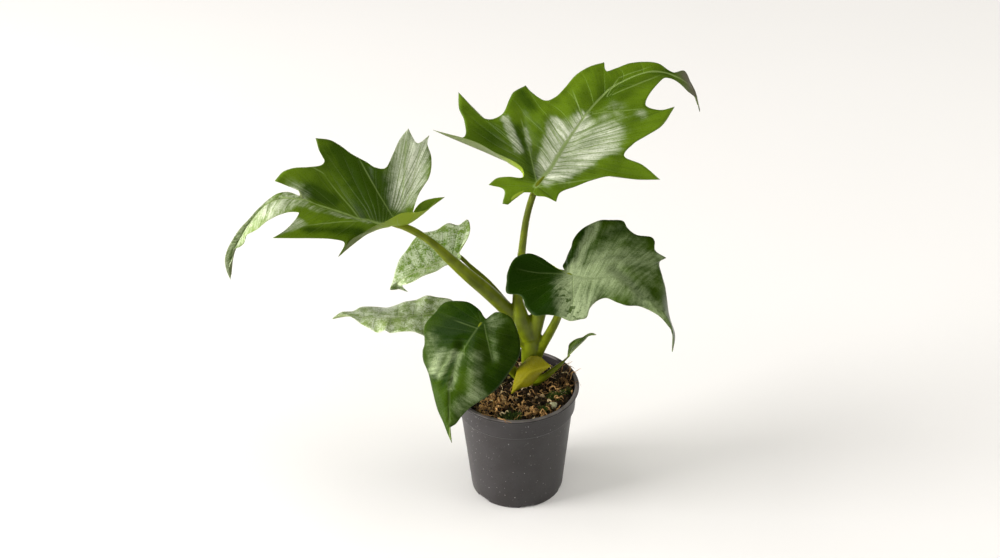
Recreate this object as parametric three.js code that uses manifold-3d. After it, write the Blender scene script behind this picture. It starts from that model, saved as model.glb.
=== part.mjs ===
// A young philodendron with lobed and heart-shaped leaves, in a round plastic nursery pot.
// Millimetres, +Z up, origin at the centre of the pot's underside. -Y is the front.
import * as THREE from "three";
import { mergeVertices } from "three/addons/utils/BufferGeometryUtils.js";
import Module from "manifold-3d";

const wasm = await Module();
wasm.setup();

// Pot: a tapered shell with a collar, a lip and a notched foot ring.
const POT_SIDES = 48;
const POT_HEIGHT = 115.5;
const LIP_RADIUS = 60;
const LIP_HEIGHT = 2.8;
const COLLAR_TOP_RADIUS = 57.4;
const COLLAR_FOOT_RADIUS = 56.2;
const COLLAR_FOOT_Z = 92;
const BODY_TOP_RADIUS = 53.8;
const FOOT_RADIUS = 44.5;
const FOOT_RING_WIDTH = 4;
const WALL = 1.4;
const GUTTER_RISE = 2.6;
const CENTRE_DISC_RADIUS = 24;
const NOTCHES = 6;
const NOTCH_WIDTH = 14;
const NOTCH_HEIGHT = 2.6;
const FIRST_NOTCH_DEG = -78;
const DRAIN_RADIUS = 4;
const DRAIN_PITCH_RADIUS = 32;

// Soil: it fills the pot to a few millimetres under the lip.
const FIT_GAP = 0.35;
const SOIL_LEVEL = 107;
const SOIL_SLOPE = 0.05;
const SOIL_RINGS = 12;
const SOIL_SIDES = 42;
const STRAND_COUNT = 14;

// Stem: short and round, with every petiole growing out of it.
const STEM_FOOT = [15.5, 17, 72];
const STEM_FOOT_RADIUS = 10;
const STALK_SIDES = 10;

// Blades: thin sheets with a thicker midrib underneath.
const BLADE = 0.8;
const MIDRIB_DEPTH = 1.6;
const BLADE_ROWS = [0.1, 0.5, 1];
const MIDRIB_STEPS = 12;
const STEPS_PER_KNOT = 2;
// How far the lines across a blade bend towards the middle of their lobe, and the shares of the
// margin's length that a lobe's middle is found over and that the bend fades out in.
const LINE_BEND = 0.8;
const LOBE_SHARE = 0.04;
const FADE_SHARE = 0.12;

// A leaf stands in its own frame: "at" is where the petiole meets the blade, heading is the
// midrib's compass angle from +X, pitch its rise, and bank lifts the left side, in degrees.
// Knots are [along, across, rise] from "at". A knot's fourth number is the share of the
// midrib at which its side vein starts, and a TIP is pointed. Both sides run from the notch
// behind the petiole to the leaf's point. Curl bends the margins up or down near the edge.
const TIP = true;
const LEAVES = {
  leaf_upper_right: {
    at: [20, 30, 313], heading: 45, pitch: 16, bank: 12, curl: 2.2, rib: 1, green: 0x4a7a1c,
    midrib: [
      [0, 0, 0], [20, 4, -1], [53, 14, -2], [98, 24, -2], [135, 27, 0],
      [165, 16, 2], [182, 3, 2], [189, -6, -1], [199, -21, -14], [198, -35, -40],
    ],
    left: [
      [-7, -3, 0], [-15, 6, 0], [-22, 8, 0], [-31, 6, -2, 0, TIP], [-34, 10, -1, 0, TIP],
      [-22, 19, 1], [-27, 33, 2, 0, TIP], [-17, 32, 3], [-10, 25, 4], [-2, 13, 5],
      [2, 17, 10, 0.03], [1, 25, 14], [-3, 45, 16], [-4, 69, 15, 0.055],
      [-14, 114, 9, 0.06, TIP],
      [-1, 88, 6], [17, 104, 3], [26, 119, 2], [43, 136, 0, 0.07, TIP],
      [33, 107, 0], [35, 89, 0, 0.08], [47, 84, 0], [67, 92, 0], [76, 95, 0], [90, 92, 0, 0.24, TIP],
      [87, 82, 0], [87, 64, 0], [96, 60, 0], [111, 61, 0], [131, 64, 0], [148, 61, 0],
      [161, 54, 0, 0.52, TIP], [153, 45, 0], [162, 40, 0], [177, 33, 0], [192, 14, 0],
      [193, -4, -2], [205, -9, -6, 0.86], [205, -17, -16], [202, -26, -22],
      [198, -35, -40, 0.97, TIP],
    ],
    right: [
      [-7, -3, 0], [-8, -8, 0], [-4, -15, 0], [-1, -25, -2, 0, TIP],
      [8, -22, 0], [23, -28, 0], [37, -34, 0], [52, -44, 0, 0.09], [64, -65, 0],
      [80, -79, -4, 0.12, TIP], [81, -58, 0], [79, -38, 0], [96, -35, 0], [112, -38, 0], [130, -41, 0],
      [157, -35, 0, 0.24, TIP], [145, -27, 0, 0.25], [141, -14, 0, 0.3], [147, -9, 0],
      [170, -4, 0],
      [183, -5, 0, 0.8], [189, -14, -6], [195, -21, -18], [200, -28, -28],
      [198, -35, -40, 0.97, TIP],
    ],
  },
  leaf_left: {
    at: [-96, -6, 296], heading: 180, pitch: 9, bank: -5, curl: 1.6, rib: 1, green: 0x3a661c,
    midrib: [
      [0, 0, 0], [11, 0, -1], [28, -2, -1], [51, -8, 0], [74, -13, 2], [91, -15, 3],
      [105, -16, 2], [115, -17, 0], [126, -13, -6], [137, -7, -20], [145, -3, -36],
      [151, -2, -56], [152, 3, -82],
    ],
    left: [
      [-4, -10, 3], [-7, -16, 9], [-13, -23, 12], [-22, -28, 13], [-32, -32, 13, 0, TIP],
      [-24, -26, 11], [-19, -13, 12], [-9, 1, 16, 0], [6, 12, 20], [20, 24, 17],
      [29, 26, 12], [36, 30, 8], [47, 36, 2, 0.08], [56, 49, -8, 0.1, TIP],
      [52, 42, 3], [62, 43, 6], [77, 46, 7], [95, 51, 8], [113, 53, 7, 0.33, TIP],
      [105, 40, 6], [98, 22, 5], [95, 7, 4, 0.42], [103, 6, 3], [112, 8, 0], [122, 11, -6],
      [130, 11, -16], [140, 7, -28], [141, 9, -34], [145, 8, -40], [150, 7, -44],
      [151, 6, -56], [154, 3, -70], [152, 3, -82, 0.97, TIP],
    ],
    right: [
      [-4, -10, 3], [-6, -27, 6], [-10, -45, 10, 0.02], [-16, -58, 14, 0.07],
      [-17, -86, 18], [-12, -104, 22], [-13, -115, 24, 0.075, TIP], [-3, -102, 22], [3, -112, 23],
      [7, -121, 25, 0.08, TIP], [14, -105, 22], [19, -83, 18], [25, -65, 14], [34, -65, 14],
      [42, -72, 14], [56, -79, 16], [69, -89, 18], [78, -92, 20], [91, -89, 22, 0.14, TIP],
      [86, -75, 18], [80, -65, 15], [82, -58, 14], [93, -52, 14], [106, -46, 15],
      [115, -39, 14], [121, -29, 10, 0.3, TIP], [112, -32, 8], [104, -29, 8],
      [93, -15, 5, 0.44], [99, -20, 4], [108, -23, 4], [116, -21, 3], [123, -19, -2],
      [131, -12, -8], [139, -7, -18], [147, -2, -28], [151, -1, -36], [156, 2, -48],
      [158, 3, -60], [156, 3, -72], [152, 3, -82, 0.97, TIP],
    ],
  },
  leaf_back_left: {
    at: [-53, 36, 239], heading: 205, pitch: -15, bank: -12, curl: 1.5, rib: 0.6, green: 0x7d9468,
    midrib: [
      [0, 0, 0], [18, -1, 1], [38, -2, 2], [54, -3, 1], [62, -5, -4], [62, -7, -12],
      [54, -8, -24],
    ],
    left: [
      [-2, 0, 1], [0, 10, 6], [8, 19, 12, 0], [21, 21, 18], [30, 23, 19], [43, 20, 18],
      [51, 18, 15], [57, 11, 8], [59, 0, -4], [54, -8, -24, 0.97, TIP],
    ],
    right: [
      [-2, 0, 1], [-9, -4, 4], [-17, -8, 6], [-24, -17, 7], [-26, -26, 8, 0], [-16, -26, 7],
      [-9, -33, 8], [4, -33, 7], [19, -37, 8], [27, -35, 7], [38, -29, 5], [48, -24, 4],
      [56, -17, 2], [65, -8, -2], [70, -5, -6, 0.7], [67, -6, -10], [60, -8, -16],
      [54, -8, -24, 0.97, TIP],
    ],
  },
  leaf_low_left: {
    at: [-59, 4, 192], heading: 180, pitch: -1, bank: 10, curl: 1.5, rib: 0.6, green: 0x64874e,
    midrib: [[0, 0, 0], [20, -1, 2], [48, 4, 2], [76, 4, 2], [95, -5, 1], [112, -7, -2]],
    left: [
      [-4, 6, 0], [-8, 26, 0], [-5, 42, -2, 0], [5, 45, -3], [13, 42, -4], [22, 37, -4],
      [34, 34, 0], [47, 31, -1], [56, 28, -3], [60, 29, 0], [68, 22, -5], [77, 17, -2],
      [85, 10, 0], [92, 4, 3], [103, -6, 2], [112, -7, -2, 0.97, TIP],
    ],
    right: [
      [-4, 6, 0], [-8, -6, 1], [-5, -25, 1, 0], [3, -31, 4], [15, -34, 5], [24, -34, 7],
      [35, -36, 2], [45, -35, 1], [54, -37, -3], [63, -36, -5], [72, -34, -3],
      [87, -30, -1], [94, -23, -2], [104, -17, 0], [112, -7, -2, 0.97, TIP],
    ],
  },
  leaf_front: {
    at: [-31, -42, 214], heading: -110, pitch: -48, bank: 0, curl: 1.6, rib: 0.75, green: 0x2c4f22,
    midrib: [
      [0, 0, 0], [13, -5, 3], [23, -9, 4], [34, -13, 5], [43, -14, 5], [62, -15, 4],
      [74, -13, 3], [90, -10, 0], [110, -5, -6],
    ],
    left: [
      [-4, 4, 0], [-8, 7, 0], [-12, 11, 0], [-12, 19, -1], [-10, 25, -3, 0], [-4, 30, -5],
      [5, 35, -7], [19, 39, -8], [29, 37, -8], [39, 33, -7], [54, 26, -6], [63, 19, -5],
      [76, 6, -3], [85, 0, -3], [93, -4, -3], [97, -8, -3], [103, -8, -4],
      [110, -5, -6, 0.97, TIP],
    ],
    right: [
      [-4, 4, 0], [-6, 1, 0], [-11, -4, 0], [-16, -15, 1], [-16, -24, 1], [-14, -34, 0, 0],
      [-11, -40, -1], [-2, -46, -3], [11, -53, -3], [28, -50, -5], [34, -51, -7],
      [42, -49, -8], [53, -41, -7], [70, -32, -6], [84, -24, -5], [94, -16, -4],
      [103, -10, -5], [110, -5, -6, 0.97, TIP],
    ],
  },
  leaf_right: {
    at: [47, -18, 250], heading: -34, pitch: 3, bank: 4, curl: 1.5, rib: 0.9, green: 0x34562a,
    midrib: [
      [0, 0, 0], [15, -6, 4], [30, -9, 8], [43, -6, 11], [52, -3, 12], [60, -4, 11],
      [75, -7, 7], [87, -7, 1], [97, -6, -7], [104, -6, -15], [108, -5, -27], [107, -5, -50],
    ],
    left: [
      [-5, 3, 0], [-12, 11, -2], [-14, 19, -2], [-16, 27, 0], [-17, 35, 3, 0], [-19, 41, 5],
      [-20, 51, 7], [-18, 60, 9], [-9, 75, 11], [-1, 79, 11], [10, 84, 10],
      [18, 78, 8], [32, 71, 8], [44, 76, 6], [49, 73, 5], [57, 60, 4], [69, 58, 1, 0.42, TIP],
      [66, 51, 0], [76, 37, -4], [83, 29, -8], [89, 21, -16], [97, 10, -26], [104, 6, -40],
      [107, -5, -50, 0.97, TIP],
    ],
    right: [
      [-5, 3, 0], [-11, -1, 3], [-18, -1.5, 7], [-25, -2.2, 11], [-36, -6, 15], [-45, -15, 13],
      [-42, -34, 8, 0], [-39, -40, 5], [-33, -50, 0], [-21, -48, 0], [-15, -51, -1],
      [-8, -58, -3], [4, -63, -5, 0.06], [14, -57, -5], [24, -54, -6], [34, -53, -8],
      [41, -49, -7], [46, -45, -6, 0.23], [44, -36, -3], [46, -28, 0, 0.36], [52, -22, 2],
      [64, -21, 0], [72, -19, -2], [79, -13, -4, 0.55], [86, -10, -7], [96, -8, -12],
      [102, -7, -18], [108, -5, -30], [107, -5, -50, 0.97, TIP],
    ],
  },
  leaf_yellow: {
    at: [31, -6, 140], heading: 190, pitch: -36, bank: -45, curl: 1.6, rib: 0.4, green: 0x94901a,
    midrib: [[0, 0, 0], [8, -3, 1], [18, -6, 2], [30, -4, 1], [46, 0, -2]],
    left: [
      [-2, 1, 0], [4, 1, 0, 0], [11, 1, -1], [18, 3, -2], [27, 4, -3], [35, 1, -3],
      [46, 0, -2, 0.97, TIP],
    ],
    right: [
      [-2, 1, 0], [0, -5, 0, 0], [2, -12, -1], [7, -17, -2], [12, -19, -3], [18, -18, -3],
      [26, -17, -3], [31, -13, -2], [36, -9, -2], [46, 0, -2, 0.97, TIP],
    ],
  },
  leaf_side_shoot: {
    at: [50, 6, 144], heading: 30, pitch: 25, bank: -25, curl: 1.6, rib: 0.3, green: 0x4b6a24,
    midrib: [[0, 0, 0], [10, 12, -1], [20, 16, -2], [28, 11, -1], [34, 4, -3]],
    left: [
      [-2, -1, 0], [5, 11, 1, 0], [11, 20, 1], [18, 19, 1], [24, 14, 0], [30, 12, 0],
      [33, 8, -1], [34, 4, -3, 0.97, TIP],
    ],
    right: [
      [-2, -1, 0], [5, -4, 2, 0], [12, -3, 2], [17, -2, 2], [23, 2, 1], [28, 6, 0],
      [34, 4, -3, 0.97, TIP],
    ],
  },
};

// Stalks: [x, y, z, radius] along each one, from inside the stem outwards. A stalk named after
// a leaf goes on from its last row to just under the place where the blade is held.
const STALKS = {
  stem: [
    [15.5, 17, 72, 10], [15.5, 17, 108, 10], [15, 16, 125, 9.6], [14.5, 16, 145, 9.2],
    [13.5, 15.5, 160, 8.6], [11, 15, 172, 7],
  ],
  new_leaf_sheath: [
    [14, 15.5, 150, 7.5], [18, 14, 170, 7.6], [22, 12, 188, 7], [28, 9, 206, 5.4],
    [32, 6, 222, 3], [35, 4, 233, 0.8],
  ],
  leaf_upper_right: [
    [13, 13, 160, 8], [7.5, 12, 176, 7.6], [4.6, 12, 188, 6.9], [2.4, 14, 203, 5],
    [3.6, 18, 222, 4.2], [6.5, 22, 247, 3.7], [12, 27, 285, 3.2],
  ],
  leaf_left: [
    [13, 21, 147, 7], [6.5, 20, 167, 7.2], [-6, 15, 188.5, 7], [-25, 8, 215, 6.6],
    [-42, 4, 235, 6], [-58, 0, 255, 5], [-76, -3, 277, 3.5],
  ],
  leaf_back_left: [
    [12, 18, 156, 5], [3, 21, 175, 3.6], [-8, 25, 191, 3], [-25, 30, 212, 2.6],
    [-41, 34, 227, 2.1],
  ],
  leaf_low_left: [
    [14, 15, 140, 5], [4, 12, 158, 3.8], [-10, 10, 170, 3], [-33, 7, 181, 2.4],
  ],
  leaf_front: [
    [14, 14, 110, 6], [4, 10, 117, 5.2], [-4, 5, 129, 4.6], [-12, -6, 152, 3.6],
    [-20, -22, 182, 3], [-26, -34, 199, 2.6],
  ],
  leaf_right: [
    [17, 15, 132, 6.5], [24, 12.5, 149, 5], [32, 6, 170, 4.4], [39, -1, 192, 3.9],
    [44, -10, 220, 3],
  ],
  leaf_yellow: [[17, 12, 124, 4], [24, 5.5, 132, 2.6], [29, 1, 136, 1.7]],
  leaf_side_shoot: [
    [16, 10, 113, 4.5], [24, 4.5, 118, 3.6], [34, 4, 127, 2.9], [43, 5, 135, 1.9],
    [47, 6, 139, 1.1],
  ],
};
// The least distance from a petiole's end to the middle of the blade that it holds.
const STALK_END = 1.6;

// Soil: what lies on it.
const STONE_AT = [34, -29, 111];
const STONE_SIZE = [5.5, 4.2, 3.4];

const toRadians = THREE.MathUtils.degToRad;
const smooth = (points) => new THREE.CatmullRomCurve3(points, false, "centripetal");
const vectors = (rows) => rows.map(([x, y, z]) => new THREE.Vector3(x, y, z));

// A closed geometry from vertices and triangles.
function geometryOf(positions, triangles) {
  const geometry = new THREE.BufferGeometry();
  geometry.setAttribute("position", new THREE.Float32BufferAttribute(positions, 3));
  geometry.setIndex(triangles);
  return geometry;
}

// A closed geometry as a manifold-3d solid, and back.
function solidOf(geometry) {
  const bare = geometry.clone();
  bare.deleteAttribute("normal");
  bare.deleteAttribute("uv");
  const merged = mergeVertices(bare, 1e-4);
  return new wasm.Manifold(
    new wasm.Mesh({
      numProp: 3,
      vertProperties: merged.attributes.position.array,
      triVerts: new Uint32Array(merged.index.array),
    }),
  );
}

function fromSolid(solid) {
  const mesh = solid.getMesh();
  return geometryOf(mesh.vertProperties, Array.from(mesh.triVerts));
}

const unite = (solids) => solids.reduce((whole, next) => whole.add(next));

// The biggest of a solid's closed surfaces, without the specks and hollows that cuts leave.
const largest = (solid) => solid.decompose().sort((a, b) => b.volume() - a.volume())[0];

// One vertex of an attribute as a vector.
const at = (attribute, i) => new THREE.Vector3().fromBufferAttribute(attribute, i);

// A repeatable random number from 0 to 1 for each whole number.
function chance(seed) {
  const wave = Math.sin(seed * 127.1 + 311.7) * 43758.5453;
  return wave - Math.floor(wave);
}

// Pot

// The outside of the pot's wall as [radius, height], from the foot ring up to the lip.
const POT_OUTSIDE = [
  [FOOT_RADIUS - 0.8, 0], [FOOT_RADIUS, 1], [BODY_TOP_RADIUS, COLLAR_FOOT_Z - 0.6],
  [COLLAR_FOOT_RADIUS, COLLAR_FOOT_Z + 0.4], [COLLAR_TOP_RADIUS, POT_HEIGHT - LIP_HEIGHT - 1.2],
  [LIP_RADIUS, POT_HEIGHT - LIP_HEIGHT], [LIP_RADIUS, POT_HEIGHT - 0.6],
  [LIP_RADIUS - 0.6, POT_HEIGHT],
];

// The inside of the wall and the floor, from the lip down to the middle.
const POT_INSIDE = [
  [COLLAR_TOP_RADIUS - WALL + 0.4, POT_HEIGHT],
  [COLLAR_TOP_RADIUS - WALL, POT_HEIGHT - 0.6],
  [COLLAR_FOOT_RADIUS - WALL, COLLAR_FOOT_Z + 1],
  [BODY_TOP_RADIUS - WALL, COLLAR_FOOT_Z - 1.4],
  [FOOT_RADIUS - WALL + 0.4, GUTTER_RISE + WALL],
  [CENTRE_DISC_RADIUS, GUTTER_RISE + WALL],
  [CENTRE_DISC_RADIUS - 2, WALL],
  [0, WALL],
];

// The underside: a flat disc in the middle, a raised gutter, and the foot ring.
const POT_UNDERSIDE = [
  [0, 0], [CENTRE_DISC_RADIUS, 0], [CENTRE_DISC_RADIUS + 2, GUTTER_RISE],
  [FOOT_RADIUS - FOOT_RING_WIDTH - 1, GUTTER_RISE], [FOOT_RADIUS - FOOT_RING_WIDTH, 0],
];

function turned(profile, sides) {
  const points = profile.map(([radius, height]) => new THREE.Vector2(radius, height));
  return new THREE.LatheGeometry(points, sides).rotateX(Math.PI / 2);
}

function drainHole(index) {
  const angle = toRadians(FIRST_NOTCH_DEG + 30 + (index * 360) / NOTCHES);
  return new THREE.CylinderGeometry(DRAIN_RADIUS, DRAIN_RADIUS, 4 * WALL, 14)
    .rotateX(Math.PI / 2)
    .translate(
      DRAIN_PITCH_RADIUS * Math.cos(angle),
      DRAIN_PITCH_RADIUS * Math.sin(angle),
      GUTTER_RISE + WALL / 2,
    );
}

function footNotch(index) {
  const angle = toRadians(FIRST_NOTCH_DEG + (index * 360) / NOTCHES);
  return new THREE.BoxGeometry(2 * FOOT_RING_WIDTH + 4, NOTCH_WIDTH, 2 * NOTCH_HEIGHT)
    .translate(FOOT_RADIUS, 0, 0)
    .rotateZ(angle);
}

function potGeometry() {
  const profile = [...POT_UNDERSIDE, ...POT_OUTSIDE, ...POT_INSIDE];
  let pot = solidOf(turned(profile, POT_SIDES));
  for (let i = 0; i < NOTCHES; i++) {
    pot = pot.subtract(solidOf(drainHole(i))).subtract(solidOf(footNotch(i)));
  }
  return fromSolid(pot);
}

// Soil

// The height of the soil's rough top over its level at a point.
function clods(x, y) {
  const broad = 1.5 * Math.sin(0.11 * x + 0.7) * Math.sin(0.13 * y + 1.9);
  const lumps = 1.3 * Math.sin(0.37 * x + 0.21 * y) * Math.sin(0.33 * y - 0.17 * x + 1);
  const crumbs = 0.7 * Math.sin(0.83 * x + 2) * Math.sin(0.77 * y + 0.5);
  return broad + lumps + crumbs + SOIL_SLOPE * (x - 0.6 * y);
}

// The inner wall of the pot at a height, less the gap that the soil keeps.
function soilRadius(z) {
  const share = (z - COLLAR_FOOT_Z) / (POT_HEIGHT - COLLAR_FOOT_Z);
  const wall = THREE.MathUtils.lerp(COLLAR_FOOT_RADIUS, COLLAR_TOP_RADIUS, share) - WALL;
  return wall - FIT_GAP;
}

function soilGeometry(stemHole, stonePocket) {
  const ring = (radius, height) =>
    Array.from({ length: SOIL_SIDES }, (_, i) => {
      const angle = (2 * Math.PI * i) / SOIL_SIDES;
      const x = radius * Math.cos(angle);
      const y = radius * Math.sin(angle);
      return [x, y, typeof height === "number" ? height : height(x, y)];
    });
  const floor = GUTTER_RISE + WALL + FIT_GAP;
  const rings = [
    ring(FOOT_RADIUS - WALL - FIT_GAP, floor),
    ring(BODY_TOP_RADIUS - WALL - FIT_GAP, COLLAR_FOOT_Z - 0.8),
    ring(soilRadius(COLLAR_FOOT_Z + 1), COLLAR_FOOT_Z + 2.2),
  ];
  const top = (x, y) => SOIL_LEVEL + clods(x, y);
  for (let i = SOIL_RINGS; i > 0; i--) {
    rings.push(ring((soilRadius(SOIL_LEVEL - 4) * i) / SOIL_RINGS, top));
  }
  const positions = [0, 0, floor, ...rings.flat(2), 0, 0, top(0, 0)];
  const last = 1 + rings.length * SOIL_SIDES;
  const triangles = [];
  for (let i = 0; i < SOIL_SIDES; i++) {
    const next = (i + 1) % SOIL_SIDES;
    triangles.push(0, 1 + next, 1 + i);
    for (let r = 0; r + 1 < rings.length; r++) {
      const low = 1 + r * SOIL_SIDES;
      const high = low + SOIL_SIDES;
      triangles.push(low + i, low + next, high + next, low + i, high + next, high + i);
    }
    triangles.push(last - SOIL_SIDES + i, last - SOIL_SIDES + next, last);
  }
  const strands = Array.from({ length: STRAND_COUNT }, (_, i) => solidOf(mossStrand(i)));
  const soil = unite([solidOf(geometryOf(positions, triangles)), ...strands]);
  return fromSolid(soil.subtract(stemHole).subtract(stonePocket));
}

// A loop of dead moss that springs out of the soil and dives back into it.
function mossStrand(index) {
  const away = 22 + 20 * chance(index + 40);
  const around = (2 * Math.PI * (index + 0.7 * chance(index + 80))) / STRAND_COUNT;
  const turn = 2 * Math.PI * chance(index + 120);
  const reach = 4 + 4 * chance(index + 160);
  const lift = 2.5 + 2.5 * chance(index + 200);
  const x = away * Math.cos(around);
  const y = away * Math.sin(around);
  const rows = [-1, -0.5, 0, 0.5, 1].map((step) => {
    const px = x + reach * step * Math.cos(turn);
    const py = y + reach * step * Math.sin(turn);
    return [px, py, SOIL_LEVEL + clods(px, py) + lift * (1 - 2 * step * step), 0.9];
  });
  return stalk(rows, 5, 5);
}

// A stone half sunk in the soil: a ball with uneven radii.
function stoneGeometry(grow) {
  const stone = mergeVertices(
    new THREE.IcosahedronGeometry(1, 1).deleteAttribute("normal").deleteAttribute("uv"),
    1e-4,
  );
  const spots = stone.attributes.position;
  for (let i = 0; i < spots.count; i++) {
    const dent = 0.85 + 0.3 * chance(i + 7);
    spots.setXYZ(i, spots.getX(i) * dent, spots.getY(i) * dent, spots.getZ(i) * dent);
  }
  const [long, wide, high] = STONE_SIZE;
  return stone.scale(long + grow, wide + grow, high + grow).rotateZ(0.4).translate(...STONE_AT);
}

// Stem and petioles

// A round tube with closed ends, along a smooth line through rows of [x, y, z, radius].
function stalk(rows, sides, steps) {
  const curve = smooth(vectors(rows));
  const frames = curve.computeFrenetFrames(steps, false);
  const positions = [];
  const triangles = [];
  for (let i = 0; i <= steps; i++) {
    const share = i / steps;
    const centre = curve.getPointAt(share);
    const place = curve.getUtoTmapping(share) * (rows.length - 1);
    const before = Math.min(Math.floor(place), rows.length - 2);
    const radius = THREE.MathUtils.lerp(rows[before][3], rows[before + 1][3], place - before);
    for (let k = 0; k < sides; k++) {
      const angle = (2 * Math.PI * k) / sides;
      const spot = centre
        .clone()
        .addScaledVector(frames.normals[i], radius * Math.cos(angle))
        .addScaledVector(frames.binormals[i], radius * Math.sin(angle));
      positions.push(spot.x, spot.y, spot.z);
    }
  }
  const ends = [curve.getPoint(0), curve.getPoint(1)];
  ends.forEach((end) => positions.push(end.x, end.y, end.z));
  const first = (steps + 1) * sides;
  for (let k = 0; k < sides; k++) {
    const next = (k + 1) % sides;
    triangles.push(first, next, k);
    for (let i = 0; i < steps; i++) {
      const low = i * sides;
      const high = low + sides;
      triangles.push(low + k, low + next, high + next, low + k, high + next, high + k);
    }
    triangles.push(first + 1, steps * sides + k, steps * sides + next);
  }
  return geometryOf(positions, triangles);
}

// The whole grown stem: every stalk joined, solid between them, and cut clear of each blade.
function stemGeometry(clearances) {
  const stalks = Object.entries(STALKS).map(([name, rows]) => {
    const held = LEAVES[name];
    if (!held) return solidOf(stalk(rows, STALK_SIDES, 2 * rows.length));
    const radius = rows.at(-1)[3] * 0.92;
    const below = Math.max(radius, STALK_END);
    const end = new THREE.Vector3(0, 0, -below).applyMatrix4(leafPlacement(held));
    const whole = [...rows, [...end.toArray(), radius]];
    return solidOf(stalk(whole, STALK_SIDES, 2 * whole.length));
  });
  const joined = unite(stalks);
  return fromSolid(largest(clearances.reduce((whole, cut) => whole.subtract(cut), joined)));
}

// Blades

// One side's margin: points along it, and the share of the midrib that each is tied to.
function margin(knots) {
  const runs = [[]];
  const anchors = [[0, 0]];
  knots.forEach((knot, index) => {
    runs.at(-1).push(knot);
    if (knot.length > 3) anchors.push([index * STEPS_PER_KNOT, knot[3]]);
    if (knot[4]) runs.push([knot]);
  });
  runs.pop();
  const points = [new THREE.Vector3(...knots[0].slice(0, 3))];
  for (const run of runs) {
    points.push(...smooth(vectors(run)).getPoints((run.length - 1) * STEPS_PER_KNOT).slice(1));
  }
  const lengths = [0];
  for (let i = 1; i < points.length; i++) {
    lengths.push(lengths[i - 1] + points[i].distanceTo(points[i - 1]));
  }
  const shares = points.map((_, i) => {
    const next = Math.max(1, anchors.findIndex(([at]) => at >= i));
    const [from, low] = anchors[next - 1];
    const [to, high] = anchors[next];
    if (to === from) return high;
    const along = (lengths[i] - lengths[from]) / (lengths[to] - lengths[from]);
    return THREE.MathUtils.lerp(low, high, along);
  });
  return { points, shares, bends: lobeBends(points, lengths) };
}

// The way from each point of a margin to the middle of the stretch of margin round it. It
// fades to nothing at both ends of the margin.
function lobeBends(points, lengths) {
  const whole = lengths.at(-1);
  return points.map((point, i) => {
    const middle = new THREE.Vector3();
    let total = 0;
    points.forEach((other, j) => {
      const step = lengths[Math.min(j + 1, lengths.length - 1)] - lengths[Math.max(j - 1, 0)];
      const apart = (lengths[j] - lengths[i]) / (LOBE_SHARE * whole);
      const weight = step * Math.exp(-0.5 * apart * apart);
      middle.addScaledVector(other, weight);
      total += weight;
    });
    const fromEnd = Math.min(lengths[i], whole - lengths[i]) / (FADE_SHARE * whole);
    return middle.divideScalar(total).sub(point).multiplyScalar(Math.min(1, fromEnd));
  });
}

// The middle surface of a blade: lines of points that bend from the midrib out to each margin,
// tied to the midrib by a strip of triangles that takes a step on whichever line is behind.
function bladeSheet(leaf) {
  const spine = smooth(vectors(leaf.midrib));
  const last = leaf.left.at(-1)[3];
  const stations = Array.from({ length: MIDRIB_STEPS + 1 }, (_, i) => (last * i) / MIDRIB_STEPS);
  const ridge = stations.map((share) => spine.getPointAt(share));
  const positions = [];
  const depths = [];
  const put = (flip, ...corners) => {
    for (const { spot, depth } of flip ? corners.reverse() : corners) {
      positions.push(spot.x, spot.y, spot.z);
      depths.push(depth);
    }
  };
  const onRidge = (k) => ({
    spot: ridge[k],
    depth: k === 0 ? 0 : MIDRIB_DEPTH * leaf.rib * (1 - 0.8 * stations[k]),
  });
  for (const side of ["left", "right"]) {
    const flip = side === "right";
    const { points, shares, bends } = margin(leaf[side]);
    const columns = points.map((edge, i) => {
      const foot = spine.getPointAt(shares[i]);
      return BLADE_ROWS.map((out) => {
        const spot = foot.clone().lerp(edge, out);
        spot.addScaledVector(bends[i], 2 * LINE_BEND * out * (1 - out));
        spot.z = foot.z + (edge.z - foot.z) * Math.pow(out, leaf.curl);
        return { spot, depth: 0 };
      });
    });
    let k = 0;
    let i = 0;
    while (k < MIDRIB_STEPS || i + 1 < columns.length) {
      const stepMidrib =
        i + 1 === columns.length ||
        (k < MIDRIB_STEPS && stations[k] + stations[k + 1] < shares[i] + shares[i + 1]);
      if (stepMidrib) {
        put(flip, onRidge(k), onRidge(k + 1), columns[i][0]);
        k++;
      } else {
        put(flip, onRidge(k), columns[i + 1][0], columns[i][0]);
        i++;
      }
    }
    for (let c = 0; c + 1 < columns.length; c++) {
      for (let r = 0; r + 1 < BLADE_ROWS.length; r++) {
        const [near, far] = [columns[c], columns[c + 1]];
        put(flip, near[r], far[r], far[r + 1]);
        put(flip, near[r], far[r + 1], near[r + 1]);
      }
    }
  }
  const sheet = new THREE.BufferGeometry();
  sheet.setAttribute("position", new THREE.Float32BufferAttribute(positions, 3));
  sheet.setAttribute("depth", new THREE.Float32BufferAttribute(depths, 1));
  return mergeVertices(sheet, 1e-3);
}

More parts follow.
